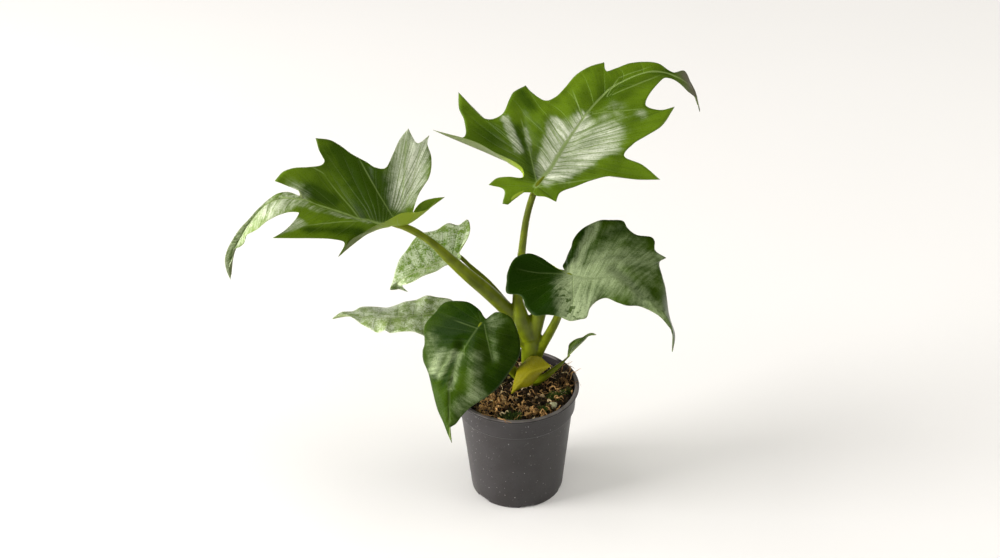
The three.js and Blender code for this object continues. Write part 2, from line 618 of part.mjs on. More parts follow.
// A sheet given thickness: its upper face, its lower face and the rim between them. Its rim is
// moved outward by a given amount, along the sheet.
function thicken(sheet, above, below, outward = 0) {
  sheet.computeVertexNormals();
  const spots = sheet.attributes.position;
  const normals = sheet.attributes.normal;
  const depths = sheet.attributes.depth;
  const count = spots.count;
  const faces = sheet.index.array;
  const triangles = [];
  const edges = new Map();
  for (let i = 0; i < faces.length; i += 3) {
    const [a, b, c] = faces.slice(i, i + 3);
    triangles.push(a, b, c, count + a, count + c, count + b);
    for (const [from, to] of [[a, b], [b, c], [c, a]]) {
      const back = to + ":" + from;
      if (edges.has(back)) edges.delete(back);
      else edges.set(from + ":" + to, [from, to]);
    }
  }
  const pushes = Array.from({ length: count }, () => new THREE.Vector3());
  for (const [from, to] of edges.values()) {
    triangles.push(to, from, count + from, to, count + from, count + to);
    const edge = at(spots, to).sub(at(spots, from));
    const side = edge.cross(at(normals, from)).normalize();
    pushes[from].add(side);
    pushes[to].add(side);
  }
  const positions = [];
  for (const offset of [above, -below]) {
    for (let i = 0; i < count; i++) {
      const reach = offset < 0 ? offset - depths.getX(i) : offset;
      const spot = at(spots, i).addScaledVector(at(normals, i), reach);
      spot.addScaledVector(pushes[i].normalize(), outward);
      positions.push(spot.x, spot.y, spot.z);
    }
  }
  return geometryOf(positions, triangles);
}

// From the leaf's own frame into the plant's.
function leafPlacement(leaf) {
  const heading = toRadians(leaf.heading);
  const pitch = toRadians(leaf.pitch);
  const along = new THREE.Vector3(
    Math.cos(pitch) * Math.cos(heading),
    Math.cos(pitch) * Math.sin(heading),
    Math.sin(pitch),
  );
  const level = new THREE.Vector3(-Math.sin(heading), Math.cos(heading), 0);
  const left = level.applyAxisAngle(along, toRadians(leaf.bank));
  const up = new THREE.Vector3().crossVectors(along, left);
  return new THREE.Matrix4().makeBasis(along, left, up).setPosition(...leaf.at);
}

const bladeGeometry = (leaf) =>
  thicken(bladeSheet(leaf), BLADE / 2, BLADE / 2).applyMatrix4(leafPlacement(leaf));

// The room that a petiole leaves round the blade it carries.
const bladeClearance = (leaf) =>
  thicken(bladeSheet(leaf), 1, BLADE / 2 + FIT_GAP, FIT_GAP).applyMatrix4(leafPlacement(leaf));

// Materials and assembly

const finish = (color, roughness) =>
  new THREE.MeshStandardMaterial({ color, roughness, metalness: 0 });

function named(name, geometry, material) {
  const mesh = new THREE.Mesh(geometry, material);
  mesh.name = name;
  return mesh;
}

function stemHole() {
  const [x, y, foot] = STEM_FOOT;
  const hole = STEM_FOOT_RADIUS + 2 * FIT_GAP;
  const height = POT_HEIGHT - foot;
  return new THREE.CylinderGeometry(hole, hole, height, 24)
    .rotateX(Math.PI / 2)
    .translate(x, y, foot - FIT_GAP + height / 2);
}

const plant = new THREE.Group();
plant.add(named("pot", potGeometry(), finish(0x55504f, 0.55)));
plant.add(
  named(
    "soil",
    soilGeometry(solidOf(stemHole()), solidOf(stoneGeometry(FIT_GAP))),
    finish(0x3a2617, 1),
  ),
);
plant.add(named("stone", stoneGeometry(0), finish(0x9aa08a, 0.9)));
const clearances = Object.values(LEAVES).map((leaf) => solidOf(bladeClearance(leaf)));
plant.add(named("stem", stemGeometry(clearances), finish(0x74861f, 0.5)));
for (const [name, leaf] of Object.entries(LEAVES)) {
  plant.add(named(name, bladeGeometry(leaf), finish(leaf.green, 0.4)));
}

export default plant;
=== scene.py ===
"""A potted philodendron: fine leaves, stem, pot, potting mix and moss round its CAD frame."""

import math

import bpy
import numpy as np
from mathutils import Matrix, Vector

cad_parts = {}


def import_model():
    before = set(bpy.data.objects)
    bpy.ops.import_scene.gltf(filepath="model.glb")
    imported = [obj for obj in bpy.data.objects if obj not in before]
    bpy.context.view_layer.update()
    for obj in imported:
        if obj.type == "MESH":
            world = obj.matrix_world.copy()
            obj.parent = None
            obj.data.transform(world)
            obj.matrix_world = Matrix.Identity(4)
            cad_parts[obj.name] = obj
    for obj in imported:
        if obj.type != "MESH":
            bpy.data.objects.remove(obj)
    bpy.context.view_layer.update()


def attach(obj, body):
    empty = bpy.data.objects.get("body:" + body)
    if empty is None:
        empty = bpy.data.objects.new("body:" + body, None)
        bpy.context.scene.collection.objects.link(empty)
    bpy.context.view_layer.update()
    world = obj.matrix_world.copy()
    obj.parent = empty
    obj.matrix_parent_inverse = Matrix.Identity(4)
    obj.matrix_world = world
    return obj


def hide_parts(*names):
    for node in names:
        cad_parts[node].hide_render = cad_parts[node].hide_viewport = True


MM = 0.001
RANDOM = np.random.default_rng(8)

# Leaves

# Rows and columns of a blade's surface, and how its veins and relief are laid out, in mm.
STEPS_PER_KNOT = 9
BLADE_ROWS = 22
MIDRIB_STEPS = 150
BLADE_HALF = 0.32
BLADE_RIM_HALF = 0.13
MIDRIB_DEPTH = 1.5
MIDRIB_WIDTH = 1.6
LAST_SHARE = 0.97
LINE_BEND = 0.8
LOBE_SHARE = 0.04
FADE_SHARE = 0.12
FOLD_FADE = 9.0
HUB_FADE = 19.0
BRANCH_REACH = 6.0
LONGEST_GAP = 80
THINNING = 0.12
RIB_TAPER = 0.8
GROOVE_DEPTH = 0.35
GROOVE_WIDTH = 0.9

# Each leaf stands in its own frame: at is where the petiole holds it, heading is its midrib's
# compass angle from +X, pitch its rise, bank the lift of its left side, in degrees. The midrib
# is rows of (along, across[, rise]) from the origin, in mm. Both margins start at the notch and
# end at the midrib's end, with rows of (along, across[, rise[, share of the midrib[, tip]]]).
# folds, sheen (painted glare), dark (painted shade), dry and spotted are strokes, and branches are
# the midrib's strong branches.
TIP = True
LEAVES = {
    "leaf_upper_right": {
        "at": (20, 30, 313), "heading": 45, "pitch": 16, "bank": 12,
        "curl": 2.2, "rib": 1, "vein_every": 24, "relief": 1.0, "slot": "leaf_bright",
        "folds": [
            (6, 5, 59, 71, 6, -3.5), (4, 0, 125, 23, 7, -2.5), (73, 53, 21, 14, 6, 2.5),
            (37, 80, 10, 20, 8, 2.5), (17, -8, 76, -39, 9, 3), (104, 45, 158, 50, 12, 2),
            (49, 7, 92, -30, 5, -1.5), (100, 20, 192, 8, 8, 2),
        ],
        "painted_glare": [
            (30, -3, 88, -8, 17, 0.85), (61, -12, 78, -24, 9, 0.6), (72, 38, 19, 6, 9, 0.85),
            (50, 12, 86, 16, 9, 0.5), (95, -5, 116, 4, 14, 0.35),
            (45, 78, 22, 40, 5, 0.7), (50, 57, 32, 35, 3, 0.5), (130, -16, 129, -19, 6, 0.4),
            (10, -3, 50, -18, 7, 0.5), (70, 22, 92, 24, 10, 0.75),
        ],
        "dry": [(203, -13, 199, -36, 8, 1)],
        "dark": [
            (45, 62, 7, 7, 6, 0.8), (27, 110, 9, 28, 13, 0.45), (134, 26, 188, -2, 9, 0.55),
            (83, 89, 70, 69, 9, 0.5), (30, 24, 58, 47, 4, 0.5),
        ],
        "branches": [
            (1, -1, 42, 48), (42, 48, 58, 71), (1, -3, 45, -39), (45, 7, 85, -14),
            (53, 9, 80, -38), (54, 16, 66, 43), (91, 21, 114, 55), (125, 23, 153, 29),
            (153, 29, 184, 12), (128, 21, 181, -1), (102, 21, 137, -14),
        ],
        "notch": (-7, -3, 0),
        "midrib": [
            (20, 4, -1), (53, 14, -2), (98, 24, -2), (135, 27), (165, 16, 2), (182, 3, 2),
            (189, -6, -1), (199, -21, -14), (198, -35, -40),
        ],
        "left": [
            (-15, 6), (-22, 8), (-31, 6, -2, 0, TIP), (-34, 10, -1, 0, TIP), (-22, 19, 1),
            (-27, 33, 2, 0, TIP), (-17, 32, 3), (-10, 25, 4), (-2, 13, 5), (2, 17, 10, 0.03),
            (1, 25, 14), (-3, 45, 16), (-4, 69, 15, 0.055), (-14, 114, 9, 0.06, TIP), (-1, 88, 6),
            (17, 104, 3), (26, 119, 2), (43, 136, 0, 0.07, TIP), (33, 107), (35, 89, 0, 0.08),
            (47, 84), (67, 92), (76, 95), (90, 92, 0, 0.24, TIP), (87, 82), (87, 64), (96, 60),
            (111, 61), (131, 64), (148, 61), (161, 54, 0, 0.52, TIP), (153, 45), (162, 40),
            (177, 33), (192, 14), (193, -4, -2), (205, -9, -6, 0.86), (205, -17, -16),
            (202, -26, -22),
        ],
        "right": [
            (-8, -8), (-4, -15), (-1, -25, -2, 0, TIP), (8, -22), (23, -28), (37, -34),
            (52, -44, 0, 0.09), (64, -65), (80, -79, -4, 0.12, TIP), (81, -58), (79, -38),
            (96, -35), (112, -38), (130, -41), (157, -35, 0, 0.24, TIP), (145, -27, 0, 0.25),
            (141, -14, 0, 0.3), (147, -9), (170, -4), (183, -5, 0, 0.8), (189, -14, -6),
            (195, -21, -18), (200, -28, -28),
        ],
    },
    "leaf_left": {
        "at": (-96, -6, 296), "heading": 180, "pitch": 9, "bank": -5,
        "curl": 1.6, "rib": 1, "vein_every": 22, "relief": 1.0, "slot": "leaf_bright",
        "folds": [
            (11, -10, 55, -85, 6, -2.5), (20, -1, 95, -19, 6, -3), (24, -84, 6, -20, 7, -4),
            (-7, -127, 1, -26, 3, -1.5), (14, -135, 8, -48, 8, 3), (74, -108, 29, -20, 12, 2.5),
            (73, 16, 35, 2, 5, 2), (42, -6, 82, -56, 5, -1.5), (107, -32, 136, 25, 4, -1),
        ],
        "painted_glare": [
            (8, -136, 5, -35, 15, 0.85), (-10, -122, -5, -56, 10, 0.7),
            (119, -52, 111, -57, 7, 0.7), (113, 41, 95, 23, 8, 0.7), (102, -19, 139, 48, 13, 0.62),
            (90, -7, 35, 2, 6, 0.4), (92, -117, 73, -103, 7, 0.3), (130, -8, 150, -1, 14, 0.65),
        ],
        "dark": [
            (61, -86, 29, -20, 26, 1), (69, -21, 88, -26, 8, 0.8), (41, 19, 84, 32, 7, 0.8),
            (85, -116, 55, -80, 10, 0.4),
        ],
        "branches": [
            (11, -10, 55, -85), (55, -85, 85, -113), (41, -6, 79, -50), (79, -50, 113, -59),
            (5, -21, 9, -128), (1, -26, -8, -122), (35, 2, 97, 30),
        ],
        "notch": (-4, -10, 3),
        "midrib": [
            (11, 0, -1), (28, -2, -1), (51, -8), (74, -13, 2), (91, -15, 3), (105, -16, 2),
            (115, -17), (126, -13, -6), (137, -7, -20), (145, -3, -36), (151, -2, -56),
            (152, 3, -82),
        ],
        "left": [
            (-7, -16, 9), (-13, -23, 12), (-22, -28, 13), (-32, -32, 13, 0, TIP), (-24, -26, 11),
            (-19, -13, 12), (-9, 1, 16, 0), (6, 12, 20), (20, 24, 17), (29, 26, 12), (36, 30, 8),
            (47, 36, 2, 0.08), (56, 49, -8, 0.1, TIP), (52, 42, 3), (62, 43, 6), (77, 46, 7),
            (95, 51, 8), (113, 53, 7, 0.33, TIP), (105, 40, 6), (98, 22, 5), (95, 7, 4, 0.42),
            (103, 6, 3), (112, 8), (122, 11, -6), (130, 11, -16), (140, 7, -28), (141, 9, -34),
            (145, 8, -40), (150, 7, -44), (151, 6, -56), (154, 3, -70),
        ],
        "right": [
            (-6, -27, 6), (-10, -45, 10, 0.02), (-16, -58, 14, 0.07), (-17, -86, 18),
            (-12, -104, 22), (-13, -115, 24, 0.075, TIP), (-3, -102, 22), (3, -112, 23),
            (7, -121, 25, 0.08, TIP), (14, -105, 22), (19, -83, 18), (25, -65, 14), (34, -65, 14),
            (42, -72, 14), (56, -79, 16), (69, -89, 18), (78, -92, 20), (91, -89, 22, 0.14, TIP),
            (86, -75, 18), (80, -65, 15), (82, -58, 14), (93, -52, 14), (106, -46, 15),
            (115, -39, 14), (121, -29, 10, 0.3, TIP), (112, -32, 8), (104, -29, 8),
            (93, -15, 5, 0.44), (99, -20, 4), (108, -23, 4), (116, -21, 3), (123, -19, -2),
            (131, -12, -8), (139, -7, -18), (147, -2, -28), (151, -1, -36), (156, 2, -48),
            (158, 3, -60), (156, 3, -72),
        ],
    },
    "leaf_back_left": {
        "at": (-53, 36, 239), "heading": 205, "pitch": -15, "bank": -12,
        "curl": 1.5, "rib": 0.6, "vein_every": 16, "relief": 0.7, "slot": "leaf_silvery",
        "dark": [(5, -10, 45, -15, 22, 0.6)],
        "notch": (-2, 0, 1),
        "midrib": [
            (18, -1, 1), (38, -2, 2), (54, -3, 1), (62, -5, -4), (62, -7, -12), (54, -8, -24),
        ],
        "left": [
            (0, 10, 6), (8, 19, 12, 0), (21, 21, 18), (30, 23, 19), (43, 20, 18), (51, 18, 15),
            (57, 11, 8), (59, 0, -4),
        ],
        "right": [
            (-9, -4, 4), (-17, -8, 6), (-24, -17, 7), (-26, -26, 8, 0), (-16, -26, 7), (-9, -33, 8),
            (4, -33, 7), (19, -37, 8), (27, -35, 7), (38, -29, 5), (48, -24, 4), (56, -17, 2),
            (65, -8, -2), (70, -5, -6, 0.7), (67, -6, -10), (60, -8, -16),
        ],
    },
    "leaf_low_left": {
        "at": (-59, 4, 192), "heading": 180, "pitch": -1, "bank": 10,
        "curl": 1.5, "rib": 0.6, "vein_every": 18, "relief": 0.9, "slot": "leaf_silvery",
        "painted_glare": [(15, 5, 90, 5, 26, 0.2)],
        "notch": (-4, 6, 0),
        "midrib": [(20, -1, 2), (48, 4, 2), (76, 4, 2), (95, -5, 1), (112, -7, -2)],
        "left": [
            (-8, 26), (-5, 42, -2, 0), (5, 45, -3), (13, 42, -4), (22, 37, -4), (34, 34),
            (47, 31, -1), (56, 28, -3), (60, 29), (68, 22, -5), (77, 17, -2), (85, 10), (92, 4, 3),
            (103, -6, 2),
        ],
        "right": [
            (-8, -6, 1), (-5, -25, 1, 0), (3, -31, 4), (15, -34, 5), (24, -34, 7), (35, -36, 2),
            (45, -35, 1), (54, -37, -3), (63, -36, -5), (72, -34, -3), (87, -30, -1), (94, -23, -2),
            (104, -17),
        ],
    },
    "leaf_front": {
        "at": (-31, -42, 214), "heading": -110, "pitch": -48, "bank": 0,
        "curl": 1.6, "rib": 0.75, "vein_every": 15, "relief": 1.0, "slot": "leaf_deep",
        "sweep": 1.5,
        "folds": [
            (0, 3, 23, -13, 5, -2.5), (23, -13, 54, -14, 5, -2.5), (54, -14, 94, -9, 4, -1.5),
            (4, 4, 30, 16, 5, -2.5), (26, 1, 59, 7, 7, 2.5), (37, -24, 58, -32, 3, -1.5),
            (31, -16, 63, -24, 3, -1.5), (5, 15, 38, 24, 9, 2),
        ],
        "painted_glare": [
            (22, -44, 50, -34, 8, 0.45), (49, -36, 31, -28, 5, 0.4), (54, -26, 31, -19, 4, 0.5),
            (63, -14, 32, -12, 4, 0.5), (30, 2, 65, 8, 8, 0.35), (78, -4, 63, 11, 8, 0.3),
            (-3, 8, 28, 19, 5, 0.3), (-7, 13, -6, 14, 8, 0.35), (80, -6, 92, -6, 9, 0.15),
        ],
        "dark": [
            (-8, -14, 15, -24, 26, 0.8), (19, 30, 51, 26, 18, 0.6), (34, -32, 56, -32, 3, 0.6),
            (37, -17, 61, -22, 3, 0.6),
        ],
        "branches": [
            (23, -11, 35, -7), (1, 3, 34, 18), (6, -2, 2, -27), (31, -16, 56, -34),
        ],
        "notch": (-4, 4, 0),
        "midrib": [
            (13, -5, 3), (23, -9, 4), (34, -13, 5), (43, -14, 5), (62, -15, 4), (74, -13, 3),
            (90, -10), (110, -5, -6),
        ],
        "left": [
            (-8, 7), (-12, 11), (-12, 19, -1), (-10, 25, -3, 0), (-4, 30, -5), (5, 35, -7),
            (19, 39, -8), (29, 37, -8), (39, 33, -7), (54, 26, -6), (63, 19, -5), (76, 6, -3),
            (85, 0, -3), (93, -4, -3), (97, -8, -3), (103, -8, -4),
        ],
        "right": [
            (-6, 1), (-11, -4), (-16, -15, 1), (-16, -24, 1), (-14, -34, 0, 0), (-11, -40, -1),
            (-2, -46, -3), (11, -53, -3), (28, -50, -5), (34, -51, -7), (42, -49, -8),
            (53, -41, -7), (70, -32, -6), (84, -24, -5), (94, -16, -4), (103, -10, -5),
        ],
    },
    "leaf_right": {
        "at": (47, -18, 250), "heading": -34, "pitch": 3, "bank": 4,
        "curl": 1.5, "rib": 0.9, "vein_every": 20, "relief": 1.0, "slot": "leaf_deep",
        "folds": [
            (0, 3, -11, 70, 5, -3.5), (5, -11, 14, -67, 8, 3), (46, 10, 83, -9, 5, -3),
            (5, 1, 40, 22, 6, 2), (30, 9, 28, 64, 7, 1.5), (-1, -1, -40, -21, 6, -2),
            (-9, 38, -23, 49, 6, 2),
        ],
        "painted_glare": [
            (14, -14, 36, -46, 17, 0.85), (7, 7, 58, 44, 15, 0.5), (2, 4, -11, 70, 6, 0.75),
            (38, -4, 98, -9, 12, 0.5), (-20, 73, -18, 71, 5, 0.4), (65, 59, 65, 57, 6, 0.4),
            (16, 30, 36, 61, 12, 0.35), (5, 50, 12, 75, 16, 0.25), (30, 5, 70, 20, 16, 0.4),
            (50, -14, 42, -40, 12, 0.35),
        ],
        "dark": [
            (-42, -8, -8, -50, 33, 1), (-8, -25, 10, -65, 10, 1), (46, 10, 83, -9, 4, 0.6),
            (-4, 21, -17, 58, 8, 0.5), (8, 54, 13, 68, 9, 0.4),
        ],
        "spotted": [(12, -32, 34, -47, 9, 0.9)],
        "branches": [
            (-2, -3, -39, -23), (0, 3, -11, 70), (8, 3, 33, 55), (29, 4, 62, 47),
            (9, -5, 35, -48),
        ],
        "notch": (-5, 3, 0),
        "midrib": [
            (15, -6, 4), (30, -9, 8), (43, -6, 11), (52, -3, 12), (60, -4, 11), (75, -7, 7),
            (87, -7, 1), (97, -6, -7), (104, -6, -15), (108, -5, -27), (107, -5, -50),
        ],
        "left": [
            (-12, 11, -2), (-14, 19, -2), (-16, 27), (-17, 35, 3, 0), (-19, 41, 5), (-20, 51, 7),
            (-18, 60, 9), (-9, 75, 11), (-1, 79, 11), (10, 84, 10), (18, 78, 8), (32, 71, 8),
            (44, 76, 6), (49, 73, 5), (57, 60, 4), (69, 58, 1, 0.42, TIP), (66, 51), (76, 37, -4),
            (83, 29, -8), (89, 21, -16), (97, 10, -26), (104, 6, -40),
        ],
        "right": [
            (-11, -1, 3), (-18, -1.5, 7), (-25, -2.2, 11), (-36, -6, 15), (-45, -15, 13),
            (-42, -34, 8, 0), (-39, -40, 5), (-33, -50), (-21, -48), (-15, -51, -1), (-8, -58, -3),
            (4, -63, -5, 0.06), (14, -57, -5), (24, -54, -6), (34, -53, -8), (41, -49, -7),
            (46, -45, -6, 0.23), (44, -36, -3), (46, -28, 0, 0.36), (52, -22, 2), (64, -21),
            (72, -19, -2), (79, -13, -4, 0.55), (86, -10, -7), (96, -8, -12), (102, -7, -18),
            (108, -5, -30),
        ],
    },
    "leaf_yellow": {
        "at": (31, -6, 140), "heading": 190, "pitch": -36, "bank": -45,
        "curl": 1.6, "rib": 0.4, "vein_every": 9, "relief": 0.15, "slot": "leaf_yellow",
        "notch": (-2, 1, 0),
        "midrib": [(8, -3, 1), (18, -6, 2), (30, -4, 1), (46, 0, -2)],
        "left": [
            (4, 1, 0, 0), (11, 1, -1), (18, 3, -2), (27, 4, -3), (35, 1, -3),
        ],
        "right": [
            (0, -5, 0, 0), (2, -12, -1), (7, -17, -2), (12, -19, -3), (18, -18, -3), (26, -17, -3),
            (31, -13, -2), (36, -9, -2),
        ],
    },
    "leaf_side_shoot": {
        "at": (50, 6, 144), "heading": 30, "pitch": 25, "bank": -25,
        "curl": 1.6, "rib": 0.3, "vein_every": 7, "relief": 0.3, "slot": "leaf_bright",
        "notch": (-2, -1, 0),
        "midrib": [(10, 12, -1), (20, 16, -2), (28, 11, -1), (34, 4, -3)],
        "left": [
            (5, 11, 1, 0), (11, 20, 1), (18, 19, 1), (24, 14), (30, 12), (33, 8, -1),
        ],
        "right": [
            (5, -4, 2, 0), (12, -3, 2), (17, -2, 2), (23, 2, 1), (28, 6),
        ],
    },
}


def smooth_line(knots, steps):
    """Points of a centripetal Catmull-Rom line: each span between two knots is a cubic whose
    slopes come from its neighbours, weighted by the square roots of the knots' distances."""
    knots = np.asarray(knots, float)
    padded = np.vstack([2 * knots[0] - knots[1], knots, 2 * knots[-1] - knots[-2]])
    before, start, end, after = (padded[i : len(padded) - 3 + i] for i in range(4))
    gap = [np.linalg.norm(b - a, axis=1) ** 0.5 for a, b in
           ((before, start), (start, end), (end, after))]
    gap = [np.maximum(g, 1e-4)[:, None] for g in gap]
    leave = (start - before) / gap[0] - (end - before) / (gap[0] + gap[1])
    leave = (leave + (end - start) / gap[1]) * gap[1]
    arrive = (end - start) / gap[1] - (after - start) / (gap[1] + gap[2])
    arrive = (arrive + (after - end) / gap[2]) * gap[1]
    t = np.linspace(0, 1, steps, endpoint=False)[None, :, None]
    start, end, leave, arrive = (a[:, None] for a in (start, end, leave, arrive))
    line = (
        start
        + leave * t
        + (3 * (end - start) - 2 * leave - arrive) * t**2
        + (2 * (start - end) + leave + arrive) * t**3
    )
    return np.vstack([line.reshape(-1, knots.shape[1]), knots[-1:]])


def unit(vectors):
    """Vectors along the last axis at length 1."""
    return vectors / np.maximum(np.linalg.norm(vectors, axis=-1, keepdims=True), 1e-9)


def run_length(points):
    """Length along a line of points, from 0 at its first one."""
    return np.r_[0, np.cumsum(np.linalg.norm(np.diff(points, axis=0), axis=1))]


def places(rows):
    """The (along, across, rise) of a leaf's rows. A row that states no rise has none."""
    return [(*row, 0)[:3] for row in rows]


def margin(leaf, side):
    """A margin as points, the share of the midrib each is tied to, and its vein count. The
    line stops at every pointed tip, shares grow with the margin's length between the knots
    that state one, and a whole number of veins lies between one tip and the next."""
    knots = [leaf["notch"], *leaf[side], (*places(leaf["midrib"])[-1], LAST_SHARE, TIP)]
    tips = [i for i, knot in enumerate(knots) if len(knot) > 4]
    runs = zip([0] + tips[:-1], tips)
    pieces = [smooth_line(places(knots[a : b + 1]), STEPS_PER_KNOT) for a, b in runs]
    points = np.vstack([piece[:-1] for piece in pieces] + [pieces[-1][-1:]])
    length = run_length(points)
    stated = [(0, 0.0)] + [(i * STEPS_PER_KNOT, k[3]) for i, k in enumerate(knots) if len(k) > 3]
    share = np.interp(length, length[[i for i, _ in stated]], [s for _, s in stated])
    ends = length[[0] + [i * STEPS_PER_KNOT for i in tips]]
    counts = np.maximum(1, np.round(np.diff(ends) / leaf["vein_every"]))
    veins = np.interp(length, ends, np.r_[0, np.cumsum(counts)])
    return points, share, veins


def lobe_bends(points):
    """The way from each point of a margin to the middle of the stretch of margin round it:
    a mean weighted by a bell curve of the length between them, less near both ends."""
    length = run_length(points)
    apart = (length[:, None] - length[None]) / (LOBE_SHARE * length[-1])
    weight = np.exp(-0.5 * apart**2) * np.gradient(length)
    middle = weight @ points / weight.sum(axis=1, keepdims=True)
    from_end = np.minimum(length, length[-1] - length) / (FADE_SHARE * length[-1])
    return (middle - points) * np.minimum(1, from_end)[:, None]


def midrib_at(leaf, share):
    """Points on the midrib, and its directions there, at shares of its length."""
    line = smooth_line([(0, 0, 0), *places(leaf["midrib"])], 40)
    length = run_length(line)
    wanted = np.asarray(share) * length[-1]
    spots, way = (
        np.stack([np.interp(wanted, length, column) for column in table.T], axis=-1)
        for table in (line, np.gradient(line, length, axis=0))
    )
    return spots, unit(way)


def quilting(veins, out, gap):
    """Relief of the blade between its side veins, in mm: the tissue swells between two veins
    and dips at each one, most in the middle of the blade and nowhere at its midrib or rim."""
    swell = np.abs(np.sin(np.pi * veins)) ** 0.7
    size = np.clip(gap * 0.06, 0, 1.1)
    return size * (swell - 0.5) * 2 * np.clip(out, 0, 1) ** 0.6 * (1 - np.clip(out, 0, 1)) ** 0.9


def strokes(spots, rows, power=2.0):
    """Soft strokes over a leaf's plane, added up. Each row is (along, across) of both ends of a
    line, a half width and a size: size * exp(-(distance from the line / half width)^power)."""
    total = np.zeros(len(spots))
    for *ends, half_width, size in rows:
        start, way = np.array(ends[:2], float), np.subtract(ends[2:], ends[:2]).astype(float)
        share = np.clip((spots[:, :2] - start) @ way / (way @ way), 0, 1)
        away = np.linalg.norm(spots[:, :2] - start - share[:, None] * way, axis=1)
        total += size * np.exp(-((away / half_width) ** power))
    return total


def branch_places(spots, rows):
    """How far each point lies to the side of its nearest branch of the midrib, in mm and with
    a sign, and how near that is, from 1 on the branch to 0 away from it and past its end."""
    side, near = np.zeros(len(spots)), np.zeros(len(spots))
    for x0, y0, x1, y1 in rows:
        way = np.array([x1 - x0, y1 - y0], float)
        from_start = spots[:, :2] - (x0, y0)
        share = from_start @ way / (way @ way)
        off = (way[0] * from_start[:, 1] - way[1] * from_start[:, 0]) / np.linalg.norm(way)
        inside = np.clip((share + 0.02) / 0.02, 0, 1) * np.clip((1.02 - share) / 0.3, 0, 1)
        here = inside * np.exp(-((off / BRANCH_REACH) ** 2))
        side = np.where(here > near, off, side)
        near = np.maximum(near, here)
    return side, near


def rim_distance(spots, rim):
    """How far each point lies from the nearest point of the margin."""
    parts = np.array_split(spots, 1 + len(spots) // 2000)
    return np.concatenate(
        [np.sqrt(((part[:, None] - rim[None]) ** 2).sum(2).min(axis=1)) for part in parts]
    )


def half_blade(leaf, side):
    """One side of a blade as a grid: each column runs from its place on the midrib to the
    margin, bends towards the middle of its lobe as out times (1 - out), and rises along the
    way as a power of the distance gone."""
    edge, share, veins = margin(leaf, side)
    share = LAST_SHARE * (share / LAST_SHARE) ** leaf.get("sweep", 1)
    foot, way = midrib_at(leaf, share)
    out = np.linspace(0, 1, BLADE_ROWS + 1)[1:] ** 1.15
    spots = foot[:, None] + (edge - foot)[:, None] * out[None, :, None]
    spots += 2 * LINE_BEND * lobe_bends(edge)[:, None] * (out * (1 - out))[None, :, None]
    spots[..., 2] = foot[:, None, 2] + (edge - foot)[:, None, 2] * out**leaf["curl"]
    steps = np.linalg.norm(np.gradient(spots, axis=0), axis=2)
    gap = np.minimum(steps / np.maximum(np.gradient(veins), 1e-6)[:, None], LONGEST_GAP)
    spots[..., 2] += quilting(veins[:, None], out[None], gap) * leaf["relief"]
    away = spots - foot[:, None]
    ahead = (away * way[:, None]).sum(2)
    off = np.linalg.norm(away - ahead[..., None] * way[:, None], axis=2)
    off = np.hypot(off, np.minimum(ahead, 0) * (share[:, None] < 1e-3))
    curve = 0.35 * (out**2 - out)[None] * np.clip(share[:, None] * 6, 0, 1)
    return {
        "spots": spots, "share": share, "gap": gap, "off": off,
        "veins": veins[:, None] + curve, "out": np.broadcast_to(out, spots.shape[:2]),
    }


def strip_to_midrib(stations, share, row, flip):
    """Triangles between the midrib's points and a blade's first row. Both lines are walked
    together by share, and each step of either line makes one triangle. The row takes both the
    first step and the last one."""
    row_key = (share[1:] + share[:-1]) / 2
    row_key[[0, -1]] = -1, 2
    key = np.r_[(stations[1:] + stations[:-1]) / 2, row_key]
    on_midrib = np.r_[np.ones(len(stations) - 1, bool), np.zeros(len(share) - 1, bool)]
    on_midrib = on_midrib[np.argsort(key, kind="stable")]
    k = np.cumsum(on_midrib) - on_midrib
    j = np.cumsum(~on_midrib) - ~on_midrib
    far = np.where(on_midrib, np.minimum(k + 1, len(stations) - 1), 0)
    middle = np.where(on_midrib, far, row[np.minimum(j + 1, len(share) - 1)])
    faces = np.stack([k, middle, row[j]], axis=1)
    return faces[:, ::-1] if flip else faces


def blade_sheet(leaf):
    """The middle surface of a blade: its midrib, its two halves, and the strips that tie them
    on. Returns points in the leaf's frame, triangles, and values on the points."""
    stations = np.linspace(0, LAST_SHARE, MIDRIB_STEPS + 1)
    ridge, _ = midrib_at(leaf, stations)
    halves = [half_blade(leaf, side) for side in ("left", "right")]
    spots = np.vstack([ridge] + [half["spots"].reshape(-1, 3) for half in halves])
    plain = np.zeros(len(ridge))
    values = {
        name: np.concatenate([plain] + [half[name].reshape(-1) for half in halves])
        for name in ("gap", "off", "veins", "out")
    }
    rim = np.vstack([half["spots"][:, -1] for half in halves])
    values["hub"] = np.hypot(spots[:, 0], spots[:, 1])
    # The sheen strokes lay painted glare on the blade, and the dark strokes painted shade.
    for name, power in (("painted_glare", 3.0), ("dark", 2.0), ("dry", 2.0), ("spotted", 2.0)):
        values[name] = strokes(spots, leaf.get(name, ()), power)
    values["branch"], values["near"] = branch_places(spots, leaf.get("branches", ()))
    inside = 1 - np.exp(-((rim_distance(spots, rim) / FOLD_FADE) ** 2))
    clear_of_stalk = 1 - np.exp(-((values["hub"] / HUB_FADE) ** 4))
    spots[:, 2] += inside * clear_of_stalk * strokes(spots, leaf.get("folds", ()))
    along = np.concatenate([stations] + [np.repeat(h["share"], BLADE_ROWS) for h in halves])
    values["along"] = along
    used, faces = np.unique(sheet_faces(stations, halves), return_inverse=True)
    return spots[used], faces.reshape(-1, 3), {name: v[used] for name, v in values.items()}


